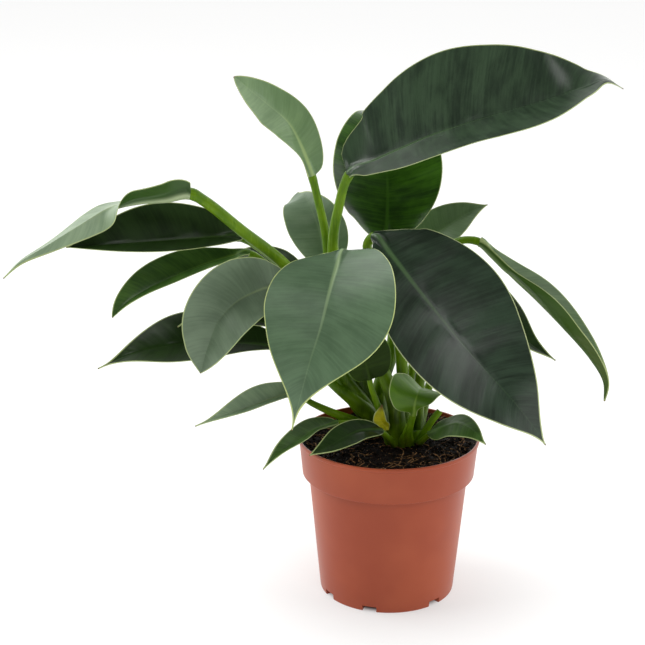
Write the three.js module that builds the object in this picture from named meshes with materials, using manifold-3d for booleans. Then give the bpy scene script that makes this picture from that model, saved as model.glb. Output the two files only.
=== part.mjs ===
// Potted philodendron: a nursery pot filled with peat, four short stems rooted in it,
// and twenty-two leathery leaves on long stalks.
// Millimetres, +Z up. The origin is the centre of the pot's foot; -Y is the front.

import * as THREE from 'three';
import { mergeVertices } from 'three/addons/utils/BufferGeometryUtils.js';
import Module from 'manifold-3d';

const wasm = await Module();
wasm.setup();
const { Manifold } = wasm;

// ---------------------------------------------------------------- driving sizes

const POT_HEIGHT = 107.4;
const RIM_RADIUS = 60;
const COLLAR_FOOT_RADIUS = 57.1;
const COLLAR_FOOT_Z = 82.3;
const BODY_TOP_RADIUS = 52.9;
const FOOT_RADIUS = 45.1;
const POT_WALL = 1.6;
const POT_FLOOR = 1.8;
const RIM_ROUND = 0.6;
const POT_SIDES = 48;

const SLOT_WIDTH = 9.5;
const SLOT_HEIGHT = 4;
const SLOT_REACH = 16;
const SLOT_BEARINGS = [-60, -17, 42, 103, 163, 222];
const DRAIN_RADIUS = 2.6;

const SOIL_TOP = 99.3;
const SOIL_BUMP = 1.3;
const SOIL_HEAP = 5.5;         // how much higher the peat lies at the back right
const SOIL_GAP = 0.3;
const SOIL_SIDES = 36;

const GAP = 0.35;              // clearance between a piece and what carries it
const BLADE = 0.8;             // thickness of a leaf blade
const STALK_SIDES = 7;
const STEM_FOOT_Z = 84;        // how deep the short stems reach into the peat

// ---------------------------------------------------------------- colours

const PAINT = {
  pot: { color: '#b4583f', roughness: 0.55, metalness: 0 },
  soil: { color: '#2c211a', roughness: 0.95, metalness: 0 },
  stalk: { color: '#5c8f2c', roughness: 0.45, metalness: 0 },
  leaf: { color: '#2f4d35', roughness: 0.38, metalness: 0 },
  paleLeaf: { color: '#5a7a56', roughness: 0.42, metalness: 0 },
  youngLeaf: { color: '#4c7a3c', roughness: 0.45, metalness: 0 },
  sheath: { color: '#c9b53a', roughness: 0.6, metalness: 0 },
};

// ---------------------------------------------------------------- the plants
//
// Each stem stands at `at`. A leaf has the points that its stalk passes from the stem to
// the foot of the blade, the points that its midrib passes from there to the tip, and:
//   width   half the blade's width            face   where its upper side looks, foot to tip
//   fold    how far the halves rise, degrees  curl   how much more they rise at the margin
//   widest  where it is broadest, 0 to 1      full   how full the foot is (small is full)
//   drip    how drawn out the tip is          set    how far the margins run back at the foot
//   thick   stalk radius at foot and blade    wave   height of the waves along the margin
// A pair in width, widest, full, drip or set is one value for each half of the blade.

const USUAL = {
  face: [[0, -0.6, 0.8]], fold: [[10, 10]], curl: [6, 6], widest: 0.42, full: 0.62, drip: 1.2,
  set: 0.02, wave: 0, thick: [4, 2.4], paint: 'leaf', small: false,
};

const STEMS = [
  {
    name: 'front', at: [7, -1], radius: 5.5, sprouts: [
      { thick: [3.6, 0.6], stalk: [[9, -6, 103], [9, -12, 110], [9.8, -16, 116], [11.5, -17.5, 122.5]] },
    ],
    leaves: [
      {
        name: 'leaf_front_centre', width: [45.5, 37.5],
        stalk: [[5, -2, 103], [5.5, -3, 119], [3, -2, 133], [-6, 2, 155], [-20, 4, 190], [-29, 0, 217]],
        rib: [[-31, -8, 233], [-36, -26, 225], [-40, -38, 214], [-45, -48, 196],
          [-51, -54, 178], [-58, -56, 152], [-63, -53, 131]],
        face: [[-0.05, -0.85, 0.5]], fold: [[34, 2], [10, 8], [8, 8]], curl: [4, 4],
        widest: [0.32, 0.38], full: [0.44, 0.85], drip: [2.5, 1.9], set: -0.05, thick: [6, 3],
      },
      {
        name: 'leaf_front_right', width: [44, 35.5],
        stalk: [[10, 2, 103], [10, 6, 130], [6, 10, 172], [-8, 13, 216], [-15, 10, 234]],
        rib: [[-10, 5, 241], [0, -8, 232], [16, -24, 214], [45, -45, 182],
          [74, -55, 151], [89, -52, 131], [96, -50, 120]],
        face: [[0.05, -0.82, 0.55]], fold: [[12, 0]], curl: [4, 4],
        widest: [0.39, 0.46], full: [0.6, 0.72], drip: [1.35, 1.3], set: -0.035, wave: 1, thick: [4.6, 3],
      },
      {
        name: 'leaf_soil_front', width: 9.5, small: true,
        stalk: [[4, -6, 103], [-1, -12, 110]],
        rib: [[-6, -16, 116], [-18, -24, 120], [-29, -33, 119], [-40, -42, 116], [-52, -50, 113]],
        face: [[-0.1, -0.6, 0.8]], fold: [[8, 8]], curl: [4, 4],
        widest: 0.45, full: 0.6, drip: 1.1, thick: [2.8, 1.8],
      },
      {
        name: 'leaf_small_centre', width: [14, 18], small: true,
        stalk: [[1, -2, 103], [-5, -4, 122], [-9, -6, 134], [-12, -7.8, 143]],
        rib: [[-13.5, -8.5, 150], [-15.5, -10, 159], [-18.5, -10, 170], [-21, -9, 182], [-22, -8, 191]],
        face: [[0.1, -0.95, 0.2]], fold: [[8, 8]],
        widest: 0.4, full: 0.42, drip: 0.9, set: 0.04, thick: [3.6, 1.6],
      },
      {
        name: 'leaf_young', width: [20, 15], small: true, paint: 'youngLeaf',
        stalk: [[12, -4, 103], [12, -14, 115]],
        rib: [[15, -18, 129], [15.5, -21, 137], [17, -20, 142], [19, -13, 143.5], [21, -5, 142]],
        face: [[0, -0.9, 0.3], [0, -0.8, 0.6]], fold: [[10, 10], [14, 14]],
        widest: [0.5, 0.65], full: [1, 1.1], drip: [0.8, 0.6], set: 0, thick: [5.2, 1.8],
      },
    ],
  },
  {
    name: 'left', at: [-8, 20], radius: 7, sprouts: [],
    leaves: [
      {
        name: 'leaf_upper_right', width: [47.5, 47],
        stalk: [[-6, 18, 103], [-13, 20, 125], [-20, 20, 145], [-31, 24, 187], [-37, 20, 230],
          [-34, 16, 255]],
        rib: [[-26, 12, 281], [-9, 4, 291], [6, -2, 299], [26, -9, 309], [66, -20, 324],
          [90, -25, 332], [113, -29, 341], [125, -31, 345], [135, -33, 340]],
        face: [[0.05, -0.62, 0.78], [0.05, -0.62, 0.78], [0.1, -0.75, 0.6]],
        fold: [[28, 28], [28, 28], [28, 27], [24, 27], [-60, 27]], curl: [4, 4], set: 0, wave: 1,
        widest: 0.44, full: [0.5, 0.6], drip: [1.1, 1.3], thick: [6.4, 2.9],
      },
      {
        name: 'leaf_upper_left', width: [16.5, 15], paint: 'paleLeaf',
        stalk: [[-9, 25, 103], [-21, 30, 122], [-39, 38, 190], [-41, 38, 230], [-47, 38, 259]],
        rib: [[-51, 38, 275], [-57.5, 36, 294], [-66, 34, 310], [-79, 30, 322],
          [-90, 24, 332], [-99.5, 18, 341]],
        face: [[0.05, -0.75, 0.6]], fold: [[8, 8]],
        widest: [0.6, 0.45], full: [1.3, 0.35], drip: [0.65, 0.7], set: [-0.06, 0], thick: [5, 2.6],
      },
      {
        name: 'leaf_front_left', width: 27,
        stalk: [[-7, 18, 103], [-14, 16, 121], [-28, 13, 142], [-44, 8, 178], [-60, 5, 206]],
        rib: [[-68, 0, 211], [-77, -7, 211], [-88, -15, 209], [-98, -22, 205],
          [-109, -28, 194], [-116, -30, 178], [-121, -28, 160]],
        face: [[-0.25, -0.7, 0.7]], fold: [[8, 46]], curl: [8, 8],
        widest: 0.45, full: 0.62, drip: 0.9, thick: [5.6, 2.5],
      },
      {
        name: 'leaf_long_left', width: [13.5, 14.5],
        stalk: [[-8, 22, 103], [-26, 20, 140], [-47, 12, 190], [-67, 6, 221], [-96, -4, 248],
          [-117, -10, 267]],
        rib: [[-127, -13, 273], [-141, -16, 271], [-157, -19, 270], [-174, -22, 266],
          [-193, -30, 256], [-212, -36, 245], [-228, -42, 236], [-238, -46, 227]],
        face: [[0, 0.75, 0.65], [0, 0.45, 0.86], [0, -0.5, 0.85], [-0.1, -0.5, 0.85],
          [-0.1, -0.5, 0.85]],
        fold: [[15, 40], [8, 20], [-30, -30], [-34, -34], [-30, -30]], curl: [2, 2],
        widest: [0.24, 0.42], full: [0.6, 0.5], drip: [1.4, 1.2], thick: [4.8, 3.5],
      },
      {
        name: 'leaf_left_under', width: 24.5,
        stalk: [[-9, 25, 103], [-29, 29, 136], [-51, 30, 185], [-70, 26, 215], [-86, 23, 230]],
        rib: [[-97, 20, 237], [-113, 16, 238], [-131, 11, 238], [-154, 4, 238],
          [-179, -4, 238], [-205, -12, 238]],
        face: [[0, -0.64, 0.77]], fold: [[32, 34]], curl: [4, 4],
        widest: 0.45, full: 0.6, drip: 1.1, thick: [4, 2.6],
      },
      {
        name: 'leaf_left_middle', width: 15.5,
        stalk: [[-9, 25, 103], [-30, 38, 128], [-54, 40, 175], [-70, 40, 203]],
        rib: [[-93, 38, 222], [-106, 36, 220], [-126, 30, 215], [-143, 24, 209],
          [-160, 18, 202], [-173, 12, 194], [-181, 8, 186]],
        face: [[-0.1, -0.62, 0.77]], fold: [[30, 34]], curl: [8, 8],
        widest: [0.45, 0.55], full: [0.6, 0.9], drip: [1, 0.75], thick: [3.6, 2.2],
      },
      {
        name: 'leaf_lower_left', width: [19, 22.5],
        stalk: [[-7, 17, 103], [-12, 14, 116], [-22, 12, 127], [-32, 11, 136], [-49, 14, 150]],
        rib: [[-69, 18, 161], [-88, 14, 166], [-108, 8, 169], [-130, 0, 171],
          [-149, -6, 170], [-168, -12, 167], [-188, -16, 159]],
        face: [[0, -0.6, 0.8]], fold: [[10, 10]], curl: [8, 8],
        widest: [0.55, 0.47], full: [1, 0.62], drip: 1.9, thick: [6.8, 2.4],
      },
      {
        name: 'leaf_low_left', width: [6, 11.5], small: true,
        stalk: [[-8, 18, 103], [-22, 10, 113], [-36, 7, 120], [-51, 8, 127]],
        rib: [[-61, 6, 134], [-77, 2, 132], [-95, -3, 127], [-112, -9, 123], [-127, -12, 118]],
        face: [[0, -0.55, 0.83]], fold: [[26, 30]],
        widest: [0.42, 0.34], full: 0.6, drip: [1.2, 1.9], thick: [4.4, 1.8],
      },
      {
        name: 'leaf_rim_left', width: 9, small: true,
        stalk: [[-8, 17, 104], [-18, 8, 112], [-26, 3, 115]],
        rib: [[-35, -4, 117], [-49, -18, 118], [-59, -32, 116], [-71, -46, 113], [-81, -56, 106]],
        face: [[-0.3, -0.6, 0.75]], fold: [[26, 30]],
        widest: 0.42, full: 0.65, drip: 1.2, thick: [2.6, 1.6],
      },
      {
        name: 'leaf_hooked_left', width: 6, small: true,
        stalk: [[-8, 18, 103], [-26, 11, 128], [-45, 10, 163]],
        rib: [[-68, 6, 180], [-88, 0, 186], [-106, -6, 191], [-124, -12, 194], [-136, -16, 187]],
        face: [[0, -0.6, 0.8]], fold: [[20, 20]],
        widest: 0.42, full: 0.65, drip: 1.5, set: 0, thick: [2.8, 1.6],
      },
    ],
  },
  {
    name: 'right', at: [20, 3], radius: 5, sprouts: [
      { thick: [3, 2], stalk: [[20, -1, 103], [23, -6, 111], [29, -8, 122], [33, -7, 127]] },
      { thick: [3, 2.2], stalk: [[20, -2, 103], [22, -4, 108], [25.5, -6, 115]] },
    ],
    leaves: [
      {
        name: 'leaf_rim_right', width: [8.5, 11], small: true,
        stalk: [[20, -4, 103], [21, -11, 107]],
        rib: [[26, -18, 115], [34, -26, 123], [42, -36, 129], [51, -46, 128], [58, -54, 122]],
        face: [[0.1, -0.5, 0.86]], fold: [[8, -20]], curl: [4, 4],
        widest: 0.45, full: 0.6, drip: [1.4, 1.1], thick: [2.4, 1.6],
      },
      {
        name: 'leaf_drooping_right', width: [13.5, 11],
        stalk: [[20, 4, 103], [21, 14, 141], [28, 18, 195], [37, 14, 231], [46, 8, 238]],
        rib: [[57, 2, 238], [65, -2, 231], [77, -8, 219], [92, -16, 206], [109, -24, 189],
          [125, -30, 171], [134, -32, 156], [135, -33, 143]],
        face: [[0.7, -0.3, 0.65]], fold: [[50, 50], [50, 80], [50, 52], [50, 50]], curl: [4, 4],
        widest: [0.45, 0.6], full: [1.6, 1.8], drip: [1, 0.8], thick: [4, 2.4],
      },
      {
        name: 'leaf_right_behind', width: 12.5, small: true,
        stalk: [[20, 6, 103], [29, 26, 137], [41, 30, 185]],
        rib: [[50, 30, 211], [62, 26, 202], [75, 18, 187], [90, 10, 170], [109, 4, 158]],
        face: [[0.2, -0.6, 0.75]], fold: [[12, 12]],
        widest: 0.42, full: 0.65, drip: 1.3, set: 0, thick: [3.2, 2],
      },
    ],
  },
  {
    name: 'back', at: [-3, 37], radius: 5.5, sprouts: [],
    leaves: [
      {
        name: 'leaf_tall_back', width: 39,
        stalk: [[-3, 36, 103], [-4.5, 42, 124], [4, 50, 150], [5, 56, 180], [1, 57, 211]],
        rib: [[-1, 56, 227], [0, 60, 243], [0, 66, 266], [-2, 76, 290], [-5, 92, 304],
          [-7, 108, 306]],
        face: [[0, -0.9, 0.35], [0, -0.9, 0.35], [0, -0.5, 0.85]], fold: [[10, 10]],
        curl: [10, 10], widest: 0.45, full: 0.6, drip: 0.9, set: 0, thick: [6, 2.8],
      },
      {
        name: 'leaf_back_left', width: [21.5, 19],
        stalk: [[-5, 38, 103], [-25, 60, 125], [-33, 66, 174]],
        rib: [[-39, 66, 205], [-42, 68, 215], [-46, 71, 230], [-51, 76, 243], [-56, 86, 250],
          [-61, 98, 251]],
        face: [[0, -0.9, 0.4]], fold: [[6, 6]],
        widest: [0.5, 0.36], full: 0.6, drip: [0.6, 1.5], thick: [3.6, 2.3],
      },
      {
        name: 'leaf_back_right', width: 16,
        stalk: [[0, 38, 103], [18, 54, 132], [18, 65, 182]],
        rib: [[12, 68, 208], [26, 70, 221], [41, 72, 232], [56, 76, 241], [70, 80, 246]],
        face: [[0, -0.7, 0.7]], fold: [[15, 15]],
        widest: 0.45, full: 0.65, drip: 1.2, set: 0, thick: [4.4, 2],
      },
      {
        name: 'leaf_back_far_left', width: 12, small: true,
        stalk: [[-5, 38, 103], [-30, 60, 118], [-47, 62, 176]],
        rib: [[-59, 60, 203], [-70, 58, 209], [-85, 56, 211], [-103, 52, 212], [-119, 50, 212]],
        face: [[0, -0.7, 0.7]], fold: [[10, 10]],
        widest: 0.42, full: 0.65, drip: 1.2, set: 0, thick: [3, 1.8],
      },
    ],
  },
];

const SHEATH = {
  ...USUAL, name: 'yellow_sheath', width: 5.5, small: true, paint: 'sheath',
  stalk: [[0, -4, 108]],
  rib: [[-1.5, -6.9, 115], [-5.5, -8.9, 121.5], [-5, -8.4, 131.5]],
  face: [[-0.3, -1, 0.2]], fold: [[30, 30]], widest: 0.4, full: 0.6, drip: 0.9, set: 0,
  thick: [1, 1.2],
};

// ---------------------------------------------------------------- small helpers

const rad = (degrees) => degrees * Math.PI / 180;
const vec = (p) => new THREE.Vector3(p[0], p[1], p[2]);

// A closed geometry as a solid, and a solid as a geometry.
function solid(geometry) {
  const g = geometry.clone();
  for (const key of Object.keys(g.attributes)) {
    if (key !== 'position') {
      g.deleteAttribute(key);
    }
  }
  const welded = mergeVertices(g, 1e-4);
  const corners = welded.index.array;
  const kept = [];
  for (let i = 0; i < corners.length; i += 3) {
    const [a, b, c] = [corners[i], corners[i + 1], corners[i + 2]];
    if (a !== b && b !== c && c !== a) {
      kept.push(a, b, c);
    }
  }
  return new Manifold(new wasm.Mesh({
    numProp: 3,
    vertProperties: new Float32Array(welded.attributes.position.array),
    triVerts: new Uint32Array(kept),
  }));
}

function geometryOf(body) {
  const mesh = body.getMesh();
  const g = new THREE.BufferGeometry();
  g.setAttribute('position', new THREE.BufferAttribute(new Float32Array(mesh.vertProperties), 3));
  g.setIndex(new THREE.BufferAttribute(new Uint32Array(mesh.triVerts), 1));
  g.computeVertexNormals();
  return g;
}

function named(name, geometry, paint) {
  const mesh = new THREE.Mesh(geometry, new THREE.MeshStandardMaterial(PAINT[paint]));
  mesh.name = name;
  return mesh;
}

// A value that changes along the leaf: the list's entries are spread evenly from foot to tip.
function along(list, u) {
  if (list.length === 1) {
    return list[0];
  }
  const x = Math.min(Math.max(u, 0), 1) * (list.length - 1);
  const i = Math.min(Math.floor(x), list.length - 2);
  const f = THREE.MathUtils.smoothstep(x - i, 0, 1);
  return list[i].map((v, k) => v + (list[i + 1][k] - v) * f);
}

// One stretch of a smooth curve through points.
class Stretch extends THREE.Curve {
  constructor(points, from, to) {
    super();
    this.whole = new THREE.CatmullRomCurve3(points.map(vec), false, 'centripetal');
    this.from = from / (points.length - 1);
    this.to = to / (points.length - 1);
  }

  getPoint(t, target = new THREE.Vector3()) {
    return this.whole.getPoint(this.from + (this.to - this.from) * t, target);
  }

  // Place and direction at a distance from the start, straight on past either end.
  walk(distance) {
    const length = this.getLength();
    const u = Math.min(Math.max(distance / length, 0), 1);
    const way = this.getTangentAt(u);
    const place = this.getPointAt(u).addScaledVector(way, distance - u * length);
    return { place, way };
  }
}

function stalkCurve(leaf) {
  return new Stretch([...leaf.stalk, ...leaf.rib], 0, leaf.stalk.length);
}

function ribCurve(leaf) {
  const count = leaf.stalk.length + leaf.rib.length - 1;
  return new Stretch([...leaf.stalk, ...leaf.rib], leaf.stalk.length, count);
}

// ---------------------------------------------------------------- stalks

// A round rod along a curve, thick[0] at its foot and thick[1] at its end.
function rod(curve, thick, grow) {
  const steps = Math.max(4, Math.round(curve.getLength() / 17));
  const circle = new THREE.Shape();
  for (let k = 0; k < STALK_SIDES; k += 1) {
    const a = 2 * Math.PI * k / STALK_SIDES;
    if (k === 0) {
      circle.moveTo(1, 0);
    } else {
      circle.lineTo(Math.cos(a), Math.sin(a));
    }
  }
  const g = new THREE.ExtrudeGeometry(circle, { steps, extrudePath: curve });
  const centres = curve.getSpacedPoints(steps);
  const p = g.attributes.position;
  const v = new THREE.Vector3();
  for (let i = 0; i < p.count; i += 1) {
    v.fromBufferAttribute(p, i);
    let near = 0;
    for (let k = 1; k <= steps; k += 1) {
      if (v.distanceToSquared(centres[k]) < v.distanceToSquared(centres[near])) {
        near = k;
      }
    }
    const u = near / steps;
    const radius = thick[1] + (thick[0] - thick[1]) * (1 - u) ** 1.3 + grow;
    v.sub(centres[near]).multiplyScalar(radius).add(centres[near]);
    p.setXYZ(i, v.x, v.y, v.z);
  }
  return solid(g);
}

// The short stem that the stalks of one plant grow from.
function stem(plant, grow) {
  const r = plant.radius + grow;
  const outline = [
    [0, STEM_FOOT_Z - grow], [r * 0.7, STEM_FOOT_Z - grow], [r, STEM_FOOT_Z + 4],
    [r, 103], [r * 0.75, 109 + grow], [0, 110 + grow],
  ].map(([x, z]) => new THREE.Vector2(x, z));
  const g = new THREE.LatheGeometry(outline, 12);
  g.rotateX(Math.PI / 2);
  g.translate(plant.at[0], plant.at[1], 0);
  return solid(g);
}

function plantBody(plant, grow) {
  let body = stem(plant, grow);
  for (const leaf of [...plant.leaves, ...plant.sprouts]) {
    const curve = leaf.rib ? stalkCurve(leaf) : new Stretch(leaf.stalk, 0, leaf.stalk.length - 1);
    body = body.add(rod(curve, leaf.thick, grow));
  }
  return body;
}

// ---------------------------------------------------------------- blades

const ofHalf = (value, which) => (Array.isArray(value) ? value[which] : value);

// Half width at e, the margin's own way from foot (0) to tip (1), as a share of the widest.
function outline(leaf, e, which) {
  if (e <= 0 || e >= 1) {
    return 0;
  }
  const power = Math.log(0.5) / Math.log(ofHalf(leaf.widest, which));
  const full = ofHalf(leaf.full, which);
  const drip = ofHalf(leaf.drip, which);
  return Math.sin(Math.PI * e ** power) ** (full + (drip - full) * e);
}

const SWEEP = 0.35;            // how far the side veins lean to the tip
const TIP_HALF = 0.4;          // half width of the very tip

// Which way a blade's upper side looks at a distance along its midrib.
function lookAt(leaf, curve, run) {
  const { way } = curve.walk(run);
  const up = vec(along(leaf.face, Math.min(Math.max(run / curve.getLength(), 0), 1)));
  return up.addScaledVector(way, -up.dot(way)).normalize();
}

// A point of the blade's middle layer: m runs from foot to tip, s from margin to margin.
function bladePoint(leaf, curve, m, s) {
  const length = curve.getLength();
  const side = Math.abs(s);
  const e = m + SWEEP * m * (1 - m);
  const rootHalf = leaf.thick[1] + 0.2;
  const which = s < 0 ? 0 : 1;
  const width = ofHalf(leaf.width, which) * outline(leaf, e, which);
  const half = Math.hypot(width, rootHalf * (1 - m) + TIP_HALF);
  let run = GAP + (length - GAP) * (m + (e - m) * side ** 1.3);
  const spread = 1 - rootHalf / Math.max(half, rootHalf);
  const back = ofHalf(leaf.set, which) * length * Math.exp(-((m / 0.13) ** 2));
  run -= back * spread * side ** 1.6;
  const { place, way } = curve.walk(run);
  const u = Math.min(Math.max(run / length, 0), 1);
  const up = lookAt(leaf, curve, run);
  const out = new THREE.Vector3().crossVectors(way, up).multiplyScalar(s < 0 ? -1 : 1);
  const fold = rad(along(leaf.fold, u)[which]);
  const curl = rad(leaf.curl[which]);
  let across = 0;
  let rise = 0;
  const parts = 6;
  for (let k = 0; k < parts; k += 1) {
    const angle = fold + 2 * curl * side * (k + 0.5) / parts;
    across += Math.cos(angle) * side * half / parts;
    rise += Math.sin(angle) * side * half / parts;
  }
  const phase = 2 * Math.PI * 2.5 * e + (s < 0 ? 1.3 : 0);
  rise += leaf.wave * Math.sin(phase) * side * side * Math.sin(Math.PI * Math.min(1, e + 0.1));
  return place.addScaledVector(out, across).addScaledVector(up, rise);
}

const WIDE_COLUMNS = [-1, -0.7, -0.36, -0.07, 0.07, 0.36, 0.7, 1];
const NARROW_COLUMNS = [-1, -0.6, -0.12, 0.12, 0.6, 1];

// A blade: two faces split alike, joined around the margin, with the midrib standing out below.
// The rows end in one point, the tip.
function bladeGeometry(leaf) {
  const curve = ribCurve(leaf);
  const columns = leaf.small ? NARROW_COLUMNS : WIDE_COLUMNS;
  const rows = leaf.small ? 8 : 11;
  const n = columns.length;
  const grid = [];
  for (let i = 0; i < rows; i += 1) {
    const m = (i / rows) ** 1.15;
    grid.push(columns.map((s) => bladePoint(leaf, curve, m, s)));
  }
  const tip = bladePoint(leaf, curve, 1, 0);
  const at = (i, j) => (i >= rows ? tip : grid[Math.max(i, 0)][Math.min(Math.max(j, 0), n - 1)]);
  const top = [];
  const under = [];
  const layers = (point, normal, below) => {
    top.push(...point.clone().addScaledVector(normal, BLADE / 2).toArray());
    under.push(...point.clone().addScaledVector(normal, -BLADE / 2 - below).toArray());
  };
  for (let i = 0; i < rows; i += 1) {
    const up = lookAt(leaf, curve, GAP + (curve.getLength() - GAP) * (i / rows) ** 1.15);
    const flat = i === 0 ? 0 : Math.min(1, at(i, 0).distanceTo(at(i, n - 1)) / 20);
    for (let j = 0; j < n; j += 1) {
      const across = new THREE.Vector3().subVectors(at(i, j + 1), at(i, j - 1));
      const down = new THREE.Vector3().subVectors(at(i + 1, j), at(i - 1, j));
      const tilted = new THREE.Vector3().crossVectors(across, down).normalize();
      const normal = up.clone().lerp(tilted, flat).normalize();
      const midrib = Math.abs(columns[j]) < 0.2 ? leaf.thick[1] * 0.7 * (1 - i / rows) ** 1.3 : 0;
      layers(at(i, j), normal, midrib);
    }
  }
  layers(tip, lookAt(leaf, curve, curve.getLength()), 0);
  const low = rows * n + 1;
  const faces = [];
  for (let i = 0; i < rows; i += 1) {
    for (let j = 0; j < n - 1; j += 1) {
      const a = i * n + j;
      const b = a + 1;
      const c = i < rows - 1 ? a + n + 1 : low - 1;
      const d = a + n;
      faces.push(a, b, c, low + a, low + c, low + b);
      if (i < rows - 1) {
        faces.push(a, c, d, low + a, low + d, low + c);
      }
    }
  }
  const ring = [];
  for (let j = 0; j < n - 1; j += 1) ring.push(j);
  for (let i = 0; i < rows; i += 1) ring.push(i * n + n - 1);
  ring.push(low - 1);
  for (let i = rows - 1; i > 0; i -= 1) ring.push(i * n);
  ring.forEach((a, k) => {
    const b = ring[(k + 1) % ring.length];
    faces.push(b, a, low + a, b, low + a, low + b);
  });
  const g = new THREE.BufferGeometry();
  g.setAttribute('position', new THREE.Float32BufferAttribute([...top, ...under], 3));
  g.setIndex(faces);
  g.computeVertexNormals();
  return g;
}

// ---------------------------------------------------------------- pot and peat

function lathe(points, sides) {
  const g = new THREE.LatheGeometry(points.map(([x, z]) => new THREE.Vector2(x, z)), sides);
  g.rotateX(Math.PI / 2);
  return g;
}

// Bearing 0 is the front; it grows toward +X.
function placed(geometry, bearing, radius, z) {
  geometry.translate(0, -radius, z);
  geometry.rotateZ(rad(bearing));
  return solid(geometry);
}

function slotBlock(bearing, extra) {
  const reach = SLOT_REACH + extra;
  const wall = FOOT_RADIUS + 3;
  const block = new THREE.BoxGeometry(SLOT_WIDTH + 2 * extra, reach + 6, SLOT_HEIGHT + extra);
  return placed(block, bearing, wall - (reach + 6) / 2 + 3, (SLOT_HEIGHT + extra) / 2);
}

const wallAt = (z) => FOOT_RADIUS + (BODY_TOP_RADIUS - FOOT_RADIUS) * z / COLLAR_FOOT_Z;

const insideCollar = (z) => COLLAR_FOOT_RADIUS - POT_WALL
  + (RIM_RADIUS - COLLAR_FOOT_RADIUS) * (z - COLLAR_FOOT_Z) / (POT_HEIGHT - COLLAR_FOOT_Z);

function insideOfPot(gap, top) {
  const step = COLLAR_FOOT_Z + 3;
  return [
    [0, POT_FLOOR + gap], [wallAt(0) - POT_WALL - gap - 1.5, POT_FLOOR + gap],
    [wallAt(2) - POT_WALL - gap, POT_FLOOR + 1.5 + gap],
    [wallAt(step - 1.5) - POT_WALL - gap, step - 1.5 + gap],
    [insideCollar(step) - gap, step + gap], [insideCollar(top) - gap, top],
  ];
}

function potBody() {
  const inside = insideOfPot(0, POT_HEIGHT - RIM_ROUND);
  const outside = [
    [0, 0], [FOOT_RADIUS - 0.8, 0], [FOOT_RADIUS, 0.8],
    [BODY_TOP_RADIUS, COLLAR_FOOT_Z], [COLLAR_FOOT_RADIUS - 1, COLLAR_FOOT_Z],
    [COLLAR_FOOT_RADIUS - 0.1, COLLAR_FOOT_Z + 0.9], [RIM_RADIUS, POT_HEIGHT - RIM_ROUND],
    [RIM_RADIUS - RIM_ROUND * 0.6, POT_HEIGHT],
    [inside[inside.length - 1][0] + RIM_ROUND * 0.6, POT_HEIGHT],
  ];
  let pot = solid(lathe([...outside, ...inside.reverse()], POT_SIDES));
  const hull = solid(lathe([
    [0, 0], [FOOT_RADIUS, 0], [BODY_TOP_RADIUS - 0.4, COLLAR_FOOT_Z - 2], [0, COLLAR_FOOT_Z - 2],
  ], POT_SIDES));
  for (const bearing of SLOT_BEARINGS) {
    pot = pot.add(slotBlock(bearing, POT_WALL).intersect(hull));
  }
  for (const bearing of SLOT_BEARINGS) {
    pot = pot.subtract(slotBlock(bearing, 0).translate([0, 0, -0.01]));
    const drain = new THREE.CylinderGeometry(DRAIN_RADIUS, DRAIN_RADIUS, 12, 10);
    drain.rotateX(Math.PI / 2);
    pot = pot.subtract(placed(drain, bearing, FOOT_RADIUS - SLOT_REACH / 2, SLOT_HEIGHT));
  }
  return pot;
}

// The lumps of the peat: a few crossed waves, flat at the pot's wall.
function lump(x, y) {
  const a = Math.sin(x * 0.31 + 1.2) * Math.cos(y * 0.27 - 0.4);
  const b = Math.sin(x * 0.13 - y * 0.61 + 2) * 0.6;
  const c = Math.cos(x * 0.71 + y * 0.23) * 0.4;
  return SOIL_BUMP * (a + b + c) / 1.6;
}

function heap(x, y) {
  return SOIL_HEAP * THREE.MathUtils.smoothstep(0.7 * (x + y), -15, 45);
}

function soilBody(grownPlants) {
  const edge = insideOfPot(SOIL_GAP, SOIL_TOP);
  const rim = edge[edge.length - 1][0];
  const rings = [0.93, 0.82, 0.7, 0.57, 0.44, 0.3, 0.15];
  const points = [...edge, ...rings.map((k) => [rim * k, SOIL_TOP]), [0, SOIL_TOP]];
  const g = lathe(points, SOIL_SIDES);
  const p = g.attributes.position;
  for (let i = 0; i < p.count; i += 1) {
    const [x, y, z] = [p.getX(i), p.getY(i), p.getZ(i)];
    if (z > SOIL_TOP - 0.01) {
      const inward = 1 - Math.hypot(x, y) / rim;
      const higher = z + heap(x, y);
      const wider = (insideCollar(higher) - SOIL_GAP) / rim;
      const bumps = lump(x, y) * Math.min(1, inward * 6) + 1.2 * inward;
      p.setXYZ(i, x * wider, y * wider, higher + bumps);
    }
  }
  let soil = solid(g);
  for (const bearing of SLOT_BEARINGS) {
    soil = soil.subtract(slotBlock(bearing, POT_WALL + SOIL_GAP));
  }
  for (const grown of grownPlants) {
    soil = soil.subtract(grown);
  }
  const parts = soil.decompose();
  return parts.reduce((a, b) => (b.volume() > a.volume() ? b : a));
}

// ---------------------------------------------------------------- the whole

const plant = new THREE.Group();
plant.add(named('pot', geometryOf(potBody()), 'pot'));

for (const one of STEMS) {
  one.leaves = one.leaves.map((leaf) => ({ ...USUAL, ...leaf }));
}
plant.add(named('soil', geometryOf(soilBody(STEMS.map((one) => plantBody(one, GAP)))), 'soil'));

for (const one of STEMS) {
  const group = new THREE.Group();
  group.add(named(`stalks_${one.name}`, geometryOf(plantBody(one, 0)), 'stalk'));
  for (const leaf of one.leaves) {
    group.add(named(leaf.name, bladeGeometry(leaf), leaf.paint));
  }
  plant.add(group);
}
plant.add(named(SHEATH.name, bladeGeometry(SHEATH), SHEATH.paint));

export default plant;
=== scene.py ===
# %% [markdown]
# # Potted philodendron
# A nursery pot of peat with four short stems, each sending up leathery leaves on long stalks.
# The solids of the plant come in first. They fix where everything is. Each cell below then makes
# one kind of piece finer than its solid, and gives it the finish of the living thing.

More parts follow.
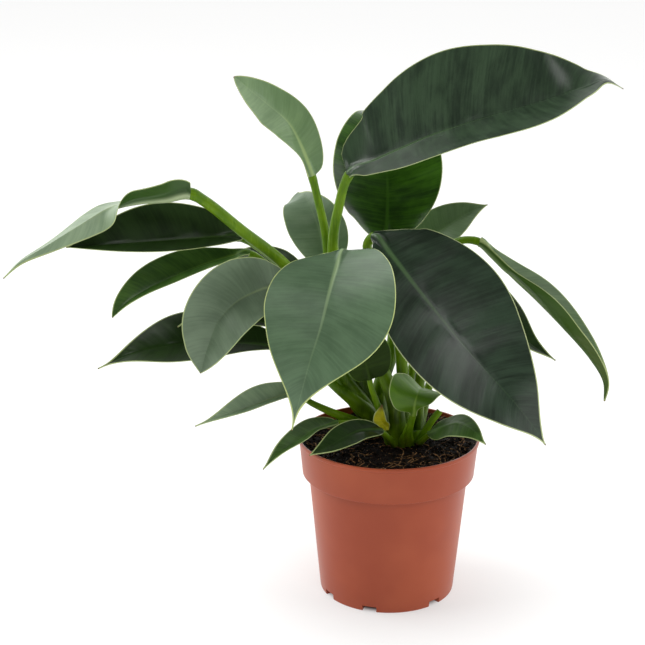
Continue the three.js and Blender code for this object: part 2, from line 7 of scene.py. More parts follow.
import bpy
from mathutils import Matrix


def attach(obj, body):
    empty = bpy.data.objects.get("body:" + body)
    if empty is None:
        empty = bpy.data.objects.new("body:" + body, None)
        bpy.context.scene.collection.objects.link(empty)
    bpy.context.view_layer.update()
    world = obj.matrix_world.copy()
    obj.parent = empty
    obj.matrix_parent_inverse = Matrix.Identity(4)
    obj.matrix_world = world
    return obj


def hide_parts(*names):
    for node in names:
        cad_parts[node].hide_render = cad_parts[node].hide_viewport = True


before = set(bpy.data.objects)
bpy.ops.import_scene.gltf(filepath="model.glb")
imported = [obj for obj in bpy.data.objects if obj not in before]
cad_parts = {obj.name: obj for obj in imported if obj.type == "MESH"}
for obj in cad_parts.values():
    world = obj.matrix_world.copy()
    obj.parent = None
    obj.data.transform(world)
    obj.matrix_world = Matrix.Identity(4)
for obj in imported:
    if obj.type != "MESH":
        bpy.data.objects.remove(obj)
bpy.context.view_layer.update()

# %% [markdown]
# ## Colour and node helpers
# Colours are written as the hex values that a painter would pick on a screen. Blender mixes light
# in linear values, so one function turns them. Every material is a net of nodes, and one small
# function adds any node together with its settings and its links, which keeps each net short.

# %% Colour and node helpers
import math
import bmesh
import bpy
import numpy as np

MM = 0.001
PER_MM = 1000.0     # a pattern's scale counts its grains in a metre
MATHS, MIX, RANGE = "ShaderNodeMath", "ShaderNodeMix", "ShaderNodeMapRange"
TIMES, COLOURS = {"operation": "MULTIPLY"}, {"data_type": "RGBA"}
SMOOTH = {"interpolation_type": "SMOOTHSTEP"}


def paint(code):
    """The linear colour of an sRGB hex value."""
    channels = [int(code[k:k + 2], 16) / 255 for k in (1, 3, 5)]
    return [c / 12.92 if c <= 0.04045 else ((c + 0.055) / 1.055) ** 2.4 for c in channels] + [1.0]


def add(tree, kind, settings=None, **inputs):
    """A node of any kind, such as TexNoise. _0 is its first input. A node given as a value stands
    for its first live output."""
    node = tree.nodes.new(kind if "Node" in kind else tree.bl_idname.removesuffix("Tree") + kind)
    for name, value in (settings or {}).items():
        setattr(node, name, value)
    for name, value in inputs.items():
        socket = node.inputs[int(name[1:]) if name[0] == "_" else name.replace("_", " ")]
        if isinstance(value, bpy.types.Node):
            value = next(output for output in value.outputs if output.enabled)
        if isinstance(value, bpy.types.NodeSocket):
            tree.links.new(value, socket)
        else:
            socket.default_value = value
    return node


def new_material(name):
    material = bpy.data.materials.new(name)
    material.use_nodes = True
    material.node_tree.nodes.clear()
    return material, material.node_tree


def put(name, data):
    """A new object in the scene around a mesh, curve, light or camera."""
    obj = bpy.data.objects.new(name, data)
    bpy.context.scene.collection.objects.link(obj)
    return obj


def keep_as_piece(obj, nodes, crease=None):
    """Shades a finished piece smoothly, up to the crease in degrees, hangs it under the root body and
    hides the solids that it stands in for.
    """
    obj.data.polygons.foreach_set("use_smooth", [True] * len(obj.data.polygons))
    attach(obj, "root")
    if nodes:
        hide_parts(*nodes)
    if crease:
        obj.data.set_sharp_from_angle(angle=math.radians(crease))
    return obj

# %% [markdown]
# ## The line of a leaf
# A leaf is drawn around one line: up the stalk, through the foot of the blade, and along the
# midrib to the tip. The line passes through a few measured points. A centripetal Catmull-Rom curve
# goes through them smoothly and makes no loops where points are close, so it is the right kind.

# %% The line of a leaf
def smooth_line(points, steps=60):
    p = np.array(points, float)
    p = np.vstack([2 * p[0] - p[1], p, 2 * p[-1] - p[-2]])
    found = []
    t = np.linspace(0, 1, steps, endpoint=False)[:, None]
    for a, b, c, d in zip(p[:-3], p[1:-2], p[2:-1], p[3:]):
        ab, bc, cd = (np.sqrt(np.linalg.norm(v)) for v in (b - a, c - b, d - c))
        leave = ((b - a) / ab - (c - a) / (ab + bc) + (c - b) / bc) * bc
        arrive = ((c - b) / bc - (d - b) / (bc + cd) + (d - c) / cd) * bc
        found.append(b + leave * t + (-3 * b + 3 * c - 2 * leave - arrive) * t ** 2
                     + (2 * b - 2 * c + leave + arrive) * t ** 3)
    return np.vstack([*found, p[-2:-1]])


class Line:
    """A line that can be walked along: place and direction at a distance from its start."""

    def __init__(self, dense):
        self.dense = dense
        self.reached = np.append(0, np.cumsum(np.linalg.norm(np.diff(dense, axis=0), axis=1)))
        self.length = self.reached[-1]
        way = np.gradient(dense, axis=0)
        self.ways = way / np.linalg.norm(way, axis=1)[:, None]

    def walk(self, distance):
        on = np.clip(distance, 0, self.length)
        pick = [np.interp(on, self.reached, column) for column in self.dense.T]
        way = np.stack([np.interp(on, self.reached, column) for column in self.ways.T], -1)
        way /= np.linalg.norm(way, axis=-1)[..., None]
        return np.stack(pick, -1) + way * (distance - on)[..., None], way


def path(text):
    """Points in mm, from text that gives x y z for each, with commas between the points."""
    return [[float(v) for v in point.split()] for point in text.split(",")]


def stalk_and_rib(leaf, steps=60):
    stalk, rib = path(leaf["stalk"]), path(leaf["rib"])
    dense = smooth_line(stalk + rib, steps)
    foot = len(stalk) * steps
    return Line(dense[:foot + 1]), Line(dense[foot:])

# %% [markdown]
# ## The form of a blade
# The blade is a grid. Its rows follow the side veins, which leave the midrib and lean to the tip,
# and its columns run from margin to margin, closest together at the midrib. Three things shape it:
# the outline, the way its upper side faces along the midrib, and how far each half folds and curls.
# The same rules with the same numbers make the solid, so the fine blade keeps its form.

# %% The form of a blade
USUAL = dict(face=[[0, -0.6, 0.8]], fold=[[10, 10]], curl=6, widest=0.42, full=0.62, drip=1.2,
             set=0.02, wave=0, thick=[4, 2.4], slot="leaf", finish="dark", small=False,
             ripple=0.25, veins=0.1)
GAP = 0.35          # mm between a stalk's end and its blade
SWEEP = 0.35        # how far the side veins lean to the tip
TIP_HALF = 0.4      # mm, half the width of the very tip
LOBE = 0.13         # the share of the blade's length over which its foot is set back
STRIPS = 6          # straight strips that bend each half
WAVES, WAVE_SHIFT = 2.5, 1.3    # ripples from foot to tip, and radians between the two margins


def along(keys, u):
    keys = np.array(keys, float)
    if len(keys) == 1:
        return np.broadcast_to(keys[0], (*np.shape(u), keys.shape[1]))
    x = np.clip(u, 0, 1) * (len(keys) - 1)
    i = np.minimum(x.astype(int), len(keys) - 2)
    f = x - i
    f = (f * f * (3 - 2 * f))[..., None]
    return keys[i] * (1 - f) + keys[i + 1] * f


def of_half(leaf, name, which):
    """A value that both halves of the blade share, or a pair with one value for each half."""
    return np.broadcast_to(np.array(leaf[name], float), 2)[which]


def half_outline(leaf, e, which):
    power = math.log(0.5) / np.log(of_half(leaf, "widest", which))
    wave = np.sin(np.pi * np.clip(e, 0, 1) ** power)
    full, drip = of_half(leaf, "full", which), of_half(leaf, "drip", which)
    return np.clip(wave, 0, 1) ** (full + (drip - full) * e)


def blade_layer(leaf, rib, m, s):
    """The blade's middle layer, with what the finish needs to know at each point."""
    length, side, which = rib.length, np.abs(s), np.where(s < 0, 0, 1)
    e = m + SWEEP * m * (1 - m)
    root = leaf["thick"][1] + 0.2
    width = of_half(leaf, "width", which) * half_outline(leaf, e, which)
    half = np.hypot(width, root * (1 - m) + TIP_HALF)
    run = GAP + (length - GAP) * (m + (e - m) * side ** 1.3)
    spread = 1 - root / np.maximum(half, root)
    back = of_half(leaf, "set", which) * length * np.exp(-((m / LOBE) ** 2))
    run = run - back * spread * side ** 1.6
    run = np.where(m <= 0, -0.5, run)
    place, way = rib.walk(run)
    u = np.clip(run / length, 0, 1)
    up = along(leaf["face"], u)
    up = up - way * np.sum(up * way, -1)[..., None]
    up = up / np.linalg.norm(up, axis=-1)[..., None]
    out = np.cross(way, up) * np.where(s < 0, -1, 1)[..., None]
    fold = np.radians(np.take_along_axis(along(leaf["fold"], u), which[..., None], -1)[..., 0])
    curl = np.radians(of_half(leaf, "curl", which))
    across, rise = np.zeros_like(u), np.zeros_like(u)
    for k in range(STRIPS):
        angle = fold + 2 * curl * side * (k + 0.5) / STRIPS
        across += np.cos(angle) * side * half / STRIPS
        rise += np.sin(angle) * side * half / STRIPS
    phase = 2 * np.pi * WAVES * e + np.where(s < 0, WAVE_SHIFT, 0)
    rise += leaf["wave"] * np.sin(phase) * side ** 2 * np.sin(np.pi * np.minimum(1, e + 0.1))
    centre = place + out * across[..., None] + up * rise[..., None]
    return centre, up, {"out": side * half, "half": half, "u": u, "vein": m * length}

# %% [markdown]
# ## Thickness, midrib and veins
# A philodendron blade is half a millimetre of leather. The stalk goes on into it as the midrib: a
# full round at the foot that sinks into the upper side within a few centimetres and stands out
# below almost to the tip. Side veins press fine furrows into the upper side, and the leather
# between them swells a little. All of this is in the mesh, so light catches it from any side.

# %% Thickness, midrib and veins
LEATHER, MARGIN_THIN = 0.26, 0.1        # mm, half the blade's thickness, and what its margin lacks
VEINS_APART, SMALL_VEINS_APART, FURROW = 8.5, 5.2, 0.9      # mm
GRID, SMALL_GRID = (88, 41), (44, 27)   # rows and columns of a blade


def slow_noise(x, seed):
    """A smooth wander between -1 and 1, always the same for the same seed."""
    pick = np.random.default_rng(seed)
    waves = pick.uniform(0.6, 1.7, 5), pick.uniform(0, 2 * np.pi, 5)
    return sum(np.sin(x * f + p) for f, p in zip(*waves)) / 3


def blade_mesh(leaf, number):
    rib = stalk_and_rib(leaf)[1]
    small = leaf["small"]
    rows, columns = SMALL_GRID if small else GRID
    t = np.linspace(-1, 1, columns)
    s = (np.sign(t) * np.abs(t) ** 1.6)[None, :].repeat(rows + 1, 0)
    m = (np.linspace(0, 1, rows + 1) ** 1.08)[:, None].repeat(columns, 1)
    centre, up, at = blade_layer(leaf, rib, m, s)
    across, down = np.gradient(centre, axis=1), np.gradient(centre, axis=0)
    normal = np.cross(across, down)
    normal /= np.maximum(np.linalg.norm(normal, axis=-1), 1e-9)[..., None]
    steady = np.clip(at["half"] / 3 - 0.6, 0, 1)[..., None]
    normal = normal * steady + up * (1 - steady)
    normal /= np.linalg.norm(normal, axis=-1)[..., None]
    side, run = np.abs(s), np.clip(at["u"], 0, 1) * rib.length
    stalk = leaf["thick"][1]
    above = stalk * np.exp(-((run / (stalk * 3.2)) ** 2)) + 0.22 * (1 - at["u"])
    below = 0.35 + stalk * (1 - at["u"]) ** 1.4
    wide = 0.5 + stalk * (1 - at["u"]) ** 1.2
    near = np.clip(1 - (at["out"] / wide) ** 2, 0, 1)
    power = 0.5 + 1.2 * np.clip(run / (stalk * 5), 0, 1)
    bulge = near ** power
    open_part = np.clip(at["out"] / wide - 1, 0, 1) * np.clip((1 - side) * 4, 0, 1)
    spacing = SMALL_VEINS_APART if small else VEINS_APART
    beat = at["vein"] / spacing + 0.35 * slow_noise(at["vein"] / 14, number)
    furrow = np.exp(-((np.abs(beat % 1 - 0.5) * spacing / FURROW) ** 2))
    swell = slow_noise(at["vein"] / 6 + np.sign(s) * 2 + side * 1.5, number + 50)
    lift = open_part * (leaf["ripple"] * swell - leaf["veins"] * furrow)
    thick = LEATHER - MARGIN_THIN * side ** 4
    top = centre + normal * (thick + above * bulge + lift)[..., None]
    under = centre + normal * (-thick - below * bulge + lift * 0.8)[..., None]
    return top, under, s, m, at

# %% [markdown]
# ## The mesh of a blade
# Two sheets of faces and a band round the margin close the blade. Beside its shape, the mesh keeps
# what the finish reads at each point: millimetres along and across the veins, how far the midrib,
# margin and tip are, and which side is the underside.

# %% The mesh of a blade
LEAF_SHIFT = 7.3    # how far apart in the noise two blades are, so that no two have the same streaks


def blade_object(leaf, number, material):
    top, under, s, m, at = blade_mesh(leaf, number)
    rows, columns = s.shape
    index = np.arange(rows * columns).reshape(rows, columns)
    a, b, c, d = index[:-1, :-1], index[:-1, 1:], index[1:, 1:], index[1:, :-1]
    low = rows * columns
    faces = [np.stack([a, b, c, d], -1).reshape(-1, 4),
             np.stack([a, d, c, b], -1).reshape(-1, 4) + low]
    ring = np.concatenate([index[0, :-1], index[:-1, -1], index[-1, :0:-1], index[:0:-1, 0]])
    after = np.roll(ring, -1)
    faces.append(np.stack([after, ring, ring + low, after + low], -1))
    mesh = bpy.data.meshes.new(leaf["name"])
    points = np.vstack([top.reshape(-1, 3), under.reshape(-1, 3)]) * MM
    mesh.from_pydata(points.tolist(), [], np.vstack(faces).tolist())
    flat = np.zeros(rows * columns)
    outward = (at["out"] * np.sign(s)).ravel()
    grain = np.stack([outward, at["vein"].ravel(), flat + number * LEAF_SHIFT], -1)
    band = 0.3 + 0.62 * leaf["thick"][1] * (1 - at["u"]) ** 1.8
    form = np.stack([(at["out"] / band).ravel(), ((1 - np.abs(s)) * at["half"]).ravel(),
                     m.ravel()], -1)
    for name, values in (("vein_grain", grain), ("blade_form", form)):
        layer = mesh.attributes.new(name, "FLOAT_VECTOR", "POINT")
        layer.data.foreach_set("vector", np.vstack([values, values]).astype(np.float32).ravel())
    layer = mesh.attributes.new("under_side", "FLOAT", "POINT")
    layer.data.foreach_set("value", np.append(flat, flat + 1).astype(np.float32))
    mesh.materials.append(material)
    return keep_as_piece(put(leaf["name"] + "_blade", mesh), [leaf["name"]], 70)

# %% [markdown]
# ## The finish of a leaf
# A living leaf is a translucent green sheet under a waxy skin. What the eye gets: a dark upper
# side with a soft, broad sheen, fine streaks that follow the side veins, a pale midrib that fades
# to the tip, a hair-thin pale margin, and a plainer, brighter underside, its colour partly its own
# and partly painted light shining through the leaf. The patterns read the blade's own attributes
# in real millimetres, so they follow each leaf however it bends. A streak is 1.4 mm wide and 33 mm
# long, and a cloud of bloom 11 by 22 mm.

# %% The finish of a leaf
RIB_LEFT = 0.15     # how much of the pale midrib is left at the tip


def leaf_finish(name, top, top_dark, under, rib, rough=0.4, gloss=0.5, dry_tip=0.012, margin="#b6c584"):
    material, tree = new_material(name)
    grain, form, side = (add(tree, "Attribute", {"attribute_name": key}).outputs
                         for key in ("vein_grain", "blade_form", "under_side"))
    from_rib, from_margin, m = add(tree, "SeparateXYZ", _0=form["Vector"]).outputs
    stretched = add(tree, "Mapping", Vector=grain["Vector"], Scale=(0.03, 0.7, 1.0))
    streak = add(tree, "TexNoise", Vector=stretched, Scale=1.0, Detail=5.0, Roughness=0.62)
    broad = add(tree, "Mapping", Vector=grain["Vector"], Scale=(0.045, 0.09, 1.0))
    cloud = add(tree, "TexNoise", Vector=broad, Scale=1.0, Detail=4.0, Roughness=0.55)
    shade = add(tree, MATHS, _0=add(tree, MATHS, TIMES, _0=streak, _1=0.4),
                _1=add(tree, MATHS, TIMES, _0=cloud, _1=0.6))
    lit = add(tree, RANGE, SMOOTH, _0=shade, _1=0.36, _2=0.66)
    colour = add(tree, MIX, COLOURS, _0=lit, _6=paint(top_dark), _7=paint(top))
    # The underside colour is partly the leaf's own and partly painted light shining through it.
    colour = add(tree, MIX, COLOURS, _0=side["Fac"], _6=colour, _7=paint(under))
    fade = add(tree, RANGE, SMOOTH, _0=m, _1=0.05, _2=0.65, _3=1.0, _4=RIB_LEFT)
    near = add(tree, RANGE, SMOOTH, _0=from_rib, _1=0.3, _2=1.3, _3=1.0, _4=0.0)
    on_rib = add(tree, MATHS, TIMES, _0=near, _1=fade)
    on_margin = add(tree, RANGE, SMOOTH, _0=from_margin, _1=0.2, _2=0.7, _3=0.9, _4=0.0)
    at_tip = add(tree, RANGE, SMOOTH, _0=m, _1=1 - dry_tip)
    for share, over in ((on_rib, rib), (on_margin, margin), (at_tip, "#6b4a22")):
        colour = add(tree, MIX, COLOURS, _0=share, _6=colour, _7=paint(over))
    uneven = add(tree, MATHS, _0=rough - 0.06, _1=add(tree, MATHS, TIMES, _0=streak, _1=0.12))
    bump = add(tree, "Bump", Height=streak, Strength=0.3, Distance=0.1 * MM)
    add(tree, "OutputMaterial", Surface=add(
        tree, "BsdfPrincipled", Base_Color=colour, Roughness=uneven, Normal=bump,
        Specular_IOR_Level=gloss))
    return material


LOOKS = dict(       # name, then the colours of the lit and dark upper side, underside and midrib
    # The bloom greens are partly the wax's own pale cast and partly painted sheen: greyer, lighter colours
    # standing for the soft boxes mirrored in the waxy skin.
    bloom_and_sheen=("waxy philodendron leaf, full bloom", "#5d7a58 #4a6546 #3a5818 #93ac7c",
             dict(rough=0.46, margin="#d2e08e")),
    # Painted light and painted sheen: lighter, greyer greens for the leaf at the back, making up for the
    # shade it stands in.
    back_painted_light=("waxy philodendron leaf at the back", "#788f70 #627c5c #3a5818 #8ea67a", dict(rough=0.46)),
    grey_bloom_and_sheen=("waxy philodendron leaf, grey bloom", "#72876b #5d7157 #2f5210 #8da074", dict(rough=0.46)),
    pale_bloom_and_sheen=("waxy philodendron leaf, pale bloom", "#95ac87 #7a9272 #2f5210 #a3b488", dict(rough=0.46)),
    blue=("blue-green philodendron leaf", "#2f4330 #192819 #35531b #4e6a42",
          dict(rough=0.32, margin="#cfdca0")),
    spread=("broad philodendron leaf", "#3c5239 #233423 #35531b #56724a", dict(rough=0.34)),
    dark=("dark philodendron leaf", "#253c14 #162a08 #2f4c10 #36521c", dict(rough=0.33, gloss=0.26)),
    # Painted light: lighter greens than the dark finish, for a leaf that stands in full light.
    lit=("philodendron leaf in full light", "#4a6c2a #30501a #2f4c10 #5c7c30",
         dict(rough=0.36, gloss=0.35)),
    plain=("soft philodendron leaf", "#31480f #263a0a #34500f #364e12",
           dict(rough=0.5, gloss=0.12, margin="#5c7a2c")),
    mid=("green philodendron leaf", "#4e7030 #36541c #3a5a14 #5c7e3a", dict(rough=0.36, gloss=0.36)),
    soft=("drooping philodendron leaf", "#6c885a #567146 #3a5a14 #86a068", dict(rough=0.42)),
    # A paler green, partly the leaf's own and partly painted sheen.
    pale=("pale philodendron leaf", "#7f9d6a #698858 #5d7d45 #a4bc7c"),
    gloss=("glossy philodendron leaf", "#3a660e #1d3c06 #2f5212 #3c6614", dict(rough=0.24, gloss=0.4)),
    young=("young philodendron leaf", "#5a8218 #466a12 #5f8718 #84a33c", dict(gloss=0.3)),
    dry=("drying leaf sheath", "#ddd414 #b4b40c #b8b01f #d4cc4a", dict(rough=0.6, dry_tip=0.3)),
)
FINISHES = {key: leaf_finish(name, *colours.split(), **(more[0] if more else {}))
            for key, (name, colours, *more) in LOOKS.items()}
print("leaf finishes:", len(FINISHES))

# %% [markdown]
# ## The leaves
# Every leaf has its own record: the points of its stalk and midrib in millimetres, which way its
# upper side faces, how its halves fold, and its outline. A plain list is the clearest way to keep
# twenty-two individuals. Where a record says nothing, the usual values hold.

# %% The record of every leaf
FRONT = [
    dict(name="leaf_front_centre", finish="bloom_and_sheen", width=[45.5, 37.5],
         stalk="5 -2 103, 5.5 -3 119, 3 -2 133, -6 2 155, -20 4 190, -29 0 217",
         rib="-31 -8 233, -36 -26 225, -40 -38 214, -45 -48 196, -51 -54 178, -58 -56 152, -63 -53 131",
         face=[[-0.05, -0.85, 0.5]], fold=[[34, 2], [10, 8], [8, 8]], curl=4, widest=[0.32, 0.38],
         full=[0.44, 0.85], drip=[2.5, 1.9], set=-0.05, thick=[6, 3]),
    dict(name="leaf_front_right", finish="blue", width=[44, 35.5],
         stalk="10 2 103, 10 6 130, 6 10 172, -8 13 216, -15 10 234",
         rib="-10 5 241, 0 -8 232, 16 -24 214, 45 -45 182, 74 -55 151, 89 -52 131, 96 -50 120",
         face=[[0.05, -0.82, 0.55]], fold=[[12, 0]], curl=4, widest=[0.39, 0.46], full=[0.6, 0.72],
         drip=[1.35, 1.3], set=-0.035, wave=1, thick=[4.6, 3]),
    dict(name="leaf_soil_front", width=9.5, small=True, stalk="4 -6 103, -1 -12 110",
         rib="-6 -16 116, -18 -24 120, -29 -33 119, -40 -42 116, -52 -50 113", face=[[-0.1, -0.6, 0.8]],
         fold=[[8, 8]], curl=4, widest=0.45, full=0.6, drip=1.1, thick=[2.8, 1.8]),
    dict(name="leaf_small_centre", finish="plain", width=[14, 18], small=True,
         stalk="1 -2 103, -5 -4 122, -9 -6 134, -12 -7.8 143",
         rib="-13.5 -8.5 150, -15.5 -10 159, -18.5 -10 170, -21 -9 182, -22 -8 191",
         face=[[0.1, -0.95, 0.2]], fold=[[8, 8]], widest=0.4, full=0.42, drip=0.9, set=0.04,
         thick=[3.6, 1.6]),
    dict(name="leaf_young", finish="young", width=[20, 15], small=True, slot="leaf_young",
         stalk="12 -4 103, 12 -14 115",
         rib="15 -18 129, 15.5 -21 137, 17 -20 142, 19 -13 143.5, 21 -5 142",
         face=[[0, -0.9, 0.3], [0, -0.8, 0.6]], fold=[[10, 10], [14, 14]], widest=[0.5, 0.65],
         full=[1, 1.1], drip=[0.8, 0.6], set=0, thick=[5.2, 1.8]),
]
LEFT = [
    dict(name="leaf_upper_right", finish="spread", width=[47.5, 47],
         stalk="-6 18 103, -13 20 125, -20 20 145, -31 24 187, -37 20 230, -34 16 255",
         rib="-26 12 281, -9 4 291, 6 -2 299, 26 -9 309, 66 -20 324, 90 -25 332, 113 -29 341, "
             "125 -31 345, 135 -33 340",
         face=[[0.05, -0.62, 0.78], [0.05, -0.62, 0.78], [0.1, -0.75, 0.6]],
         fold=[[28, 28], [28, 28], [28, 27], [24, 27], [-60, 27]], curl=4, set=0, wave=1, widest=0.44,
         full=[0.5, 0.6], drip=[1.1, 1.3], thick=[6.4, 2.9]),
    dict(name="leaf_upper_left", finish="pale", width=[16.5, 15], slot="leaf_pale",
         stalk="-9 25 103, -21 30 122, -39 38 190, -41 38 230, -47 38 259",
         rib="-51 38 275, -57.5 36 294, -66 34 310, -79 30 322, -90 24 332, -99.5 18 341",
         face=[[0.05, -0.75, 0.6]], fold=[[8, 8]], widest=[0.6, 0.45], full=[1.3, 0.35], drip=[0.65, 0.7],
         set=[-0.06, 0], thick=[5, 2.6]),
    dict(name="leaf_front_left", finish="grey_bloom_and_sheen", width=27,
         stalk="-7 18 103, -14 16 121, -28 13 142, -44 8 178, -60 5 206",
         rib="-68 0 211, -77 -7 211, -88 -15 209, -98 -22 205, -109 -28 194, -116 -30 178, -121 -28 160",
         face=[[-0.25, -0.7, 0.7]], fold=[[8, 46]], curl=8, widest=0.45, drip=0.9, thick=[5.6, 2.5]),
    dict(name="leaf_long_left", finish="pale_bloom_and_sheen", width=[13.5, 14.5],
         stalk="-8 22 103, -26 20 140, -47 12 190, -67 6 221, -96 -4 248, -117 -10 267",
         rib="-127 -13 273, -141 -16 271, -157 -19 270, -174 -22 266, -193 -30 256, "
             "-212 -36 245, -228 -42 236, -238 -46 227",
         face=[[0, 0.75, 0.65], [0, 0.45, 0.86], [0, -0.5, 0.85], [-0.1, -0.5, 0.85], [-0.1, -0.5, 0.85]],
         fold=[[15, 40], [8, 20], [-30, -30], [-34, -34], [-30, -30]], curl=2, widest=[0.24, 0.42],
         full=[0.6, 0.5], drip=[1.4, 1.2], thick=[4.8, 3.5]),
    dict(name="leaf_left_under", width=24.5,
         stalk="-9 25 103, -29 29 136, -51 30 185, -70 26 215, -86 23 230",
         rib="-97 20 237, -113 16 238, -131 11 238, -154 4 238, -179 -4 238, -205 -12 238",
         face=[[0, -0.64, 0.77]], fold=[[32, 34]], curl=4, widest=0.45, full=0.6, drip=1.1,
         thick=[4, 2.6]),
    dict(name="leaf_left_middle", finish="lit", width=15.5,
         stalk="-9 25 103, -30 38 128, -54 40 175, -70 40 203",
         rib="-93 38 222, -106 36 220, -126 30 215, -143 24 209, -160 18 202, -173 12 194, -181 8 186",
         face=[[-0.1, -0.62, 0.77]], fold=[[30, 34]], curl=8, widest=[0.45, 0.55], full=[0.6, 0.9],
         drip=[1, 0.75], thick=[3.6, 2.2]),
    dict(name="leaf_lower_left", width=[19, 22.5],
         stalk="-7 17 103, -12 14 116, -22 12 127, -32 11 136, -49 14 150",
         rib="-69 18 161, -88 14 166, -108 8 169, -130 0 171, -149 -6 170, -168 -12 167, -188 -16 159",
         curl=8, widest=[0.55, 0.47], full=[1, 0.62], drip=1.9, thick=[6.8, 2.4]),
    dict(name="leaf_low_left", finish="pale_bloom_and_sheen", width=[6, 11.5], small=True,
         stalk="-8 18 103, -22 10 113, -36 7 120, -51 8 127",
         rib="-61 6 134, -77 2 132, -95 -3 127, -112 -9 123, -127 -12 118", face=[[0, -0.55, 0.83]],
         fold=[[26, 30]], widest=[0.42, 0.34], full=0.6, drip=[1.2, 1.9], thick=[4.4, 1.8]),
    dict(name="leaf_rim_left", finish="mid", width=9, small=True, stalk="-8 17 104, -18 8 112, -26 3 115",
         rib="-35 -4 117, -49 -18 118, -59 -32 116, -71 -46 113, -81 -56 106", face=[[-0.3, -0.6, 0.75]],
         fold=[[26, 30]], full=0.65, thick=[2.6, 1.6]),
    dict(name="leaf_hooked_left", width=6, small=True, stalk="-8 18 103, -26 11 128, -45 10 163",
         rib="-68 6 180, -88 0 186, -106 -6 191, -124 -12 194, -136 -16 187", fold=[[20, 20]], full=0.65,
         drip=1.5, set=0, thick=[2.8, 1.6]),
]
RIGHT = [
    dict(name="leaf_rim_right", finish="mid", width=[8.5, 11], small=True, stalk="20 -4 103, 21 -11 107",
         rib="26 -18 115, 34 -26 123, 42 -36 129, 51 -46 128, 58 -54 122", face=[[0.1, -0.5, 0.86]],
         fold=[[8, -20]], curl=4, widest=0.45, full=0.6, drip=[1.4, 1.1], thick=[2.4, 1.6]),
    dict(name="leaf_drooping_right", finish="soft", width=[13.5, 11],
         stalk="20 4 103, 21 14 141, 28 18 195, 37 14 231, 46 8 238",
         rib="57 2 238, 65 -2 231, 77 -8 219, 92 -16 206, 109 -24 189, 125 -30 171, 134 -32 156, "
             "135 -33 143", face=[[0.7, -0.3, 0.65]], fold=[[50, 50], [50, 80], [50, 52], [50, 50]],
         curl=4, widest=[0.45, 0.6], full=[1.6, 1.8], drip=[1, 0.8]),
    dict(name="leaf_right_behind", width=12.5, small=True, stalk="20 6 103, 29 26 137, 41 30 185",
         rib="50 30 211, 62 26 202, 75 18 187, 90 10 170, 109 4 158", face=[[0.2, -0.6, 0.75]],
         fold=[[12, 12]], full=0.65, drip=1.3, set=0, thick=[3.2, 2]),
]
BACK = [
    dict(name="leaf_tall_back", finish="gloss", width=39,
         stalk="-3 36 103, -4.5 42 124, 4 50 150, 5 56 180, 1 57 211",
         rib="-1 56 227, 0 60 243, 0 66 266, -2 76 290, -5 92 304, -7 108 306",
         face=[[0, -0.9, 0.35], [0, -0.9, 0.35], [0, -0.5, 0.85]], curl=10, widest=0.45, full=0.6,
         drip=0.9, set=0, thick=[6, 2.8]),
    dict(name="leaf_back_left", finish="back_painted_light", width=[21.5, 19],
         stalk="-5 38 103, -25 60 125, -33 66 174",
         rib="-39 66 205, -42 68 215, -46 71 230, -51 76 243, -56 86 250, -61 98 251",
         face=[[0, -0.9, 0.4]], fold=[[6, 6]], widest=[0.5, 0.36], full=0.6, drip=[0.6, 1.5],
         thick=[3.6, 2.3]),
    dict(name="leaf_back_right", finish="soft", width=16, stalk="0 38 103, 18 54 132, 18 65 182",
         rib="12 68 208, 26 70 221, 41 72 232, 56 76 241, 70 80 246", face=[[0, -0.7, 0.7]],
         fold=[[15, 15]], widest=0.45, full=0.65, set=0, thick=[4.4, 2]),
    dict(name="leaf_back_far_left", width=12, small=True, stalk="-5 38 103, -30 60 118, -47 62 176",
         rib="-59 60 203, -70 58 209, -85 56 211, -103 52 212, -119 50 212", face=[[0, -0.7, 0.7]],
         full=0.65, set=0, thick=[3, 1.8]),
]
STEMS = [
    dict(name="front", at=[7, -1], radius=5.5, leaves=FRONT, sprouts=[
        dict(thick=[3.6, 0.6], stalk="9 -6 103, 9 -12 110, 9.8 -16 116, 11.5 -17.5 122.5")]),
    dict(name="left", at=[-8, 20], radius=7, leaves=LEFT, sprouts=[]),
    dict(name="right", at=[20, 3], radius=5, leaves=RIGHT, sprouts=[
        dict(thick=[3, 2], stalk="20 -1 103, 23 -6 111, 29 -8 122, 33 -7 127"),
        dict(thick=[3, 2.2], stalk="20 -2 103, 22 -4 108, 25.5 -6 115")]),
    dict(name="back", at=[-3, 37], radius=5.5, leaves=BACK, sprouts=[]),
]
SHEATH = dict(name="yellow_sheath", finish="dry", width=5.5, small=True, slot="sheath", stalk="0 -4 108",
              rib="-1.5 -6.9 115, -5.5 -8.9 121.5, -5 -8.4 131.5", face=[[-0.3, -1, 0.2]], fold=[[30, 30]],
              widest=0.4, full=0.6, drip=0.9, set=0, thick=[1, 1.2])

# %% [markdown]
# ## Grow the blades
# One loop grows every blade from its record. The number of a blade is its seed, so its ripples and
# veins differ from its neighbour's and are the same each time.

# %% Grow the blades
LEAVES = [{**USUAL, **leaf} for stem in STEMS for leaf in stem["leaves"]] + [{**USUAL, **SHEATH}]
blades = [blade_object(leaf, number, FINISHES[leaf["finish"]]) for number, leaf in enumerate(LEAVES)]
print("blades:", len(blades), "faces:", sum(len(b.data.polygons) for b in blades))

# %% [markdown]
# ## The stalks
# A stalk is a round, juicy rod that thickens to its foot, where it wraps the short stem. A tube
# along a curve is just this, so Geometry Nodes sweep a circle along one curve a stalk, scaled by
# the curve's own radius, and join what grew as one plant into one skin.

# %% A tree that grows stalks
SIDES = 20          # faces round a stalk


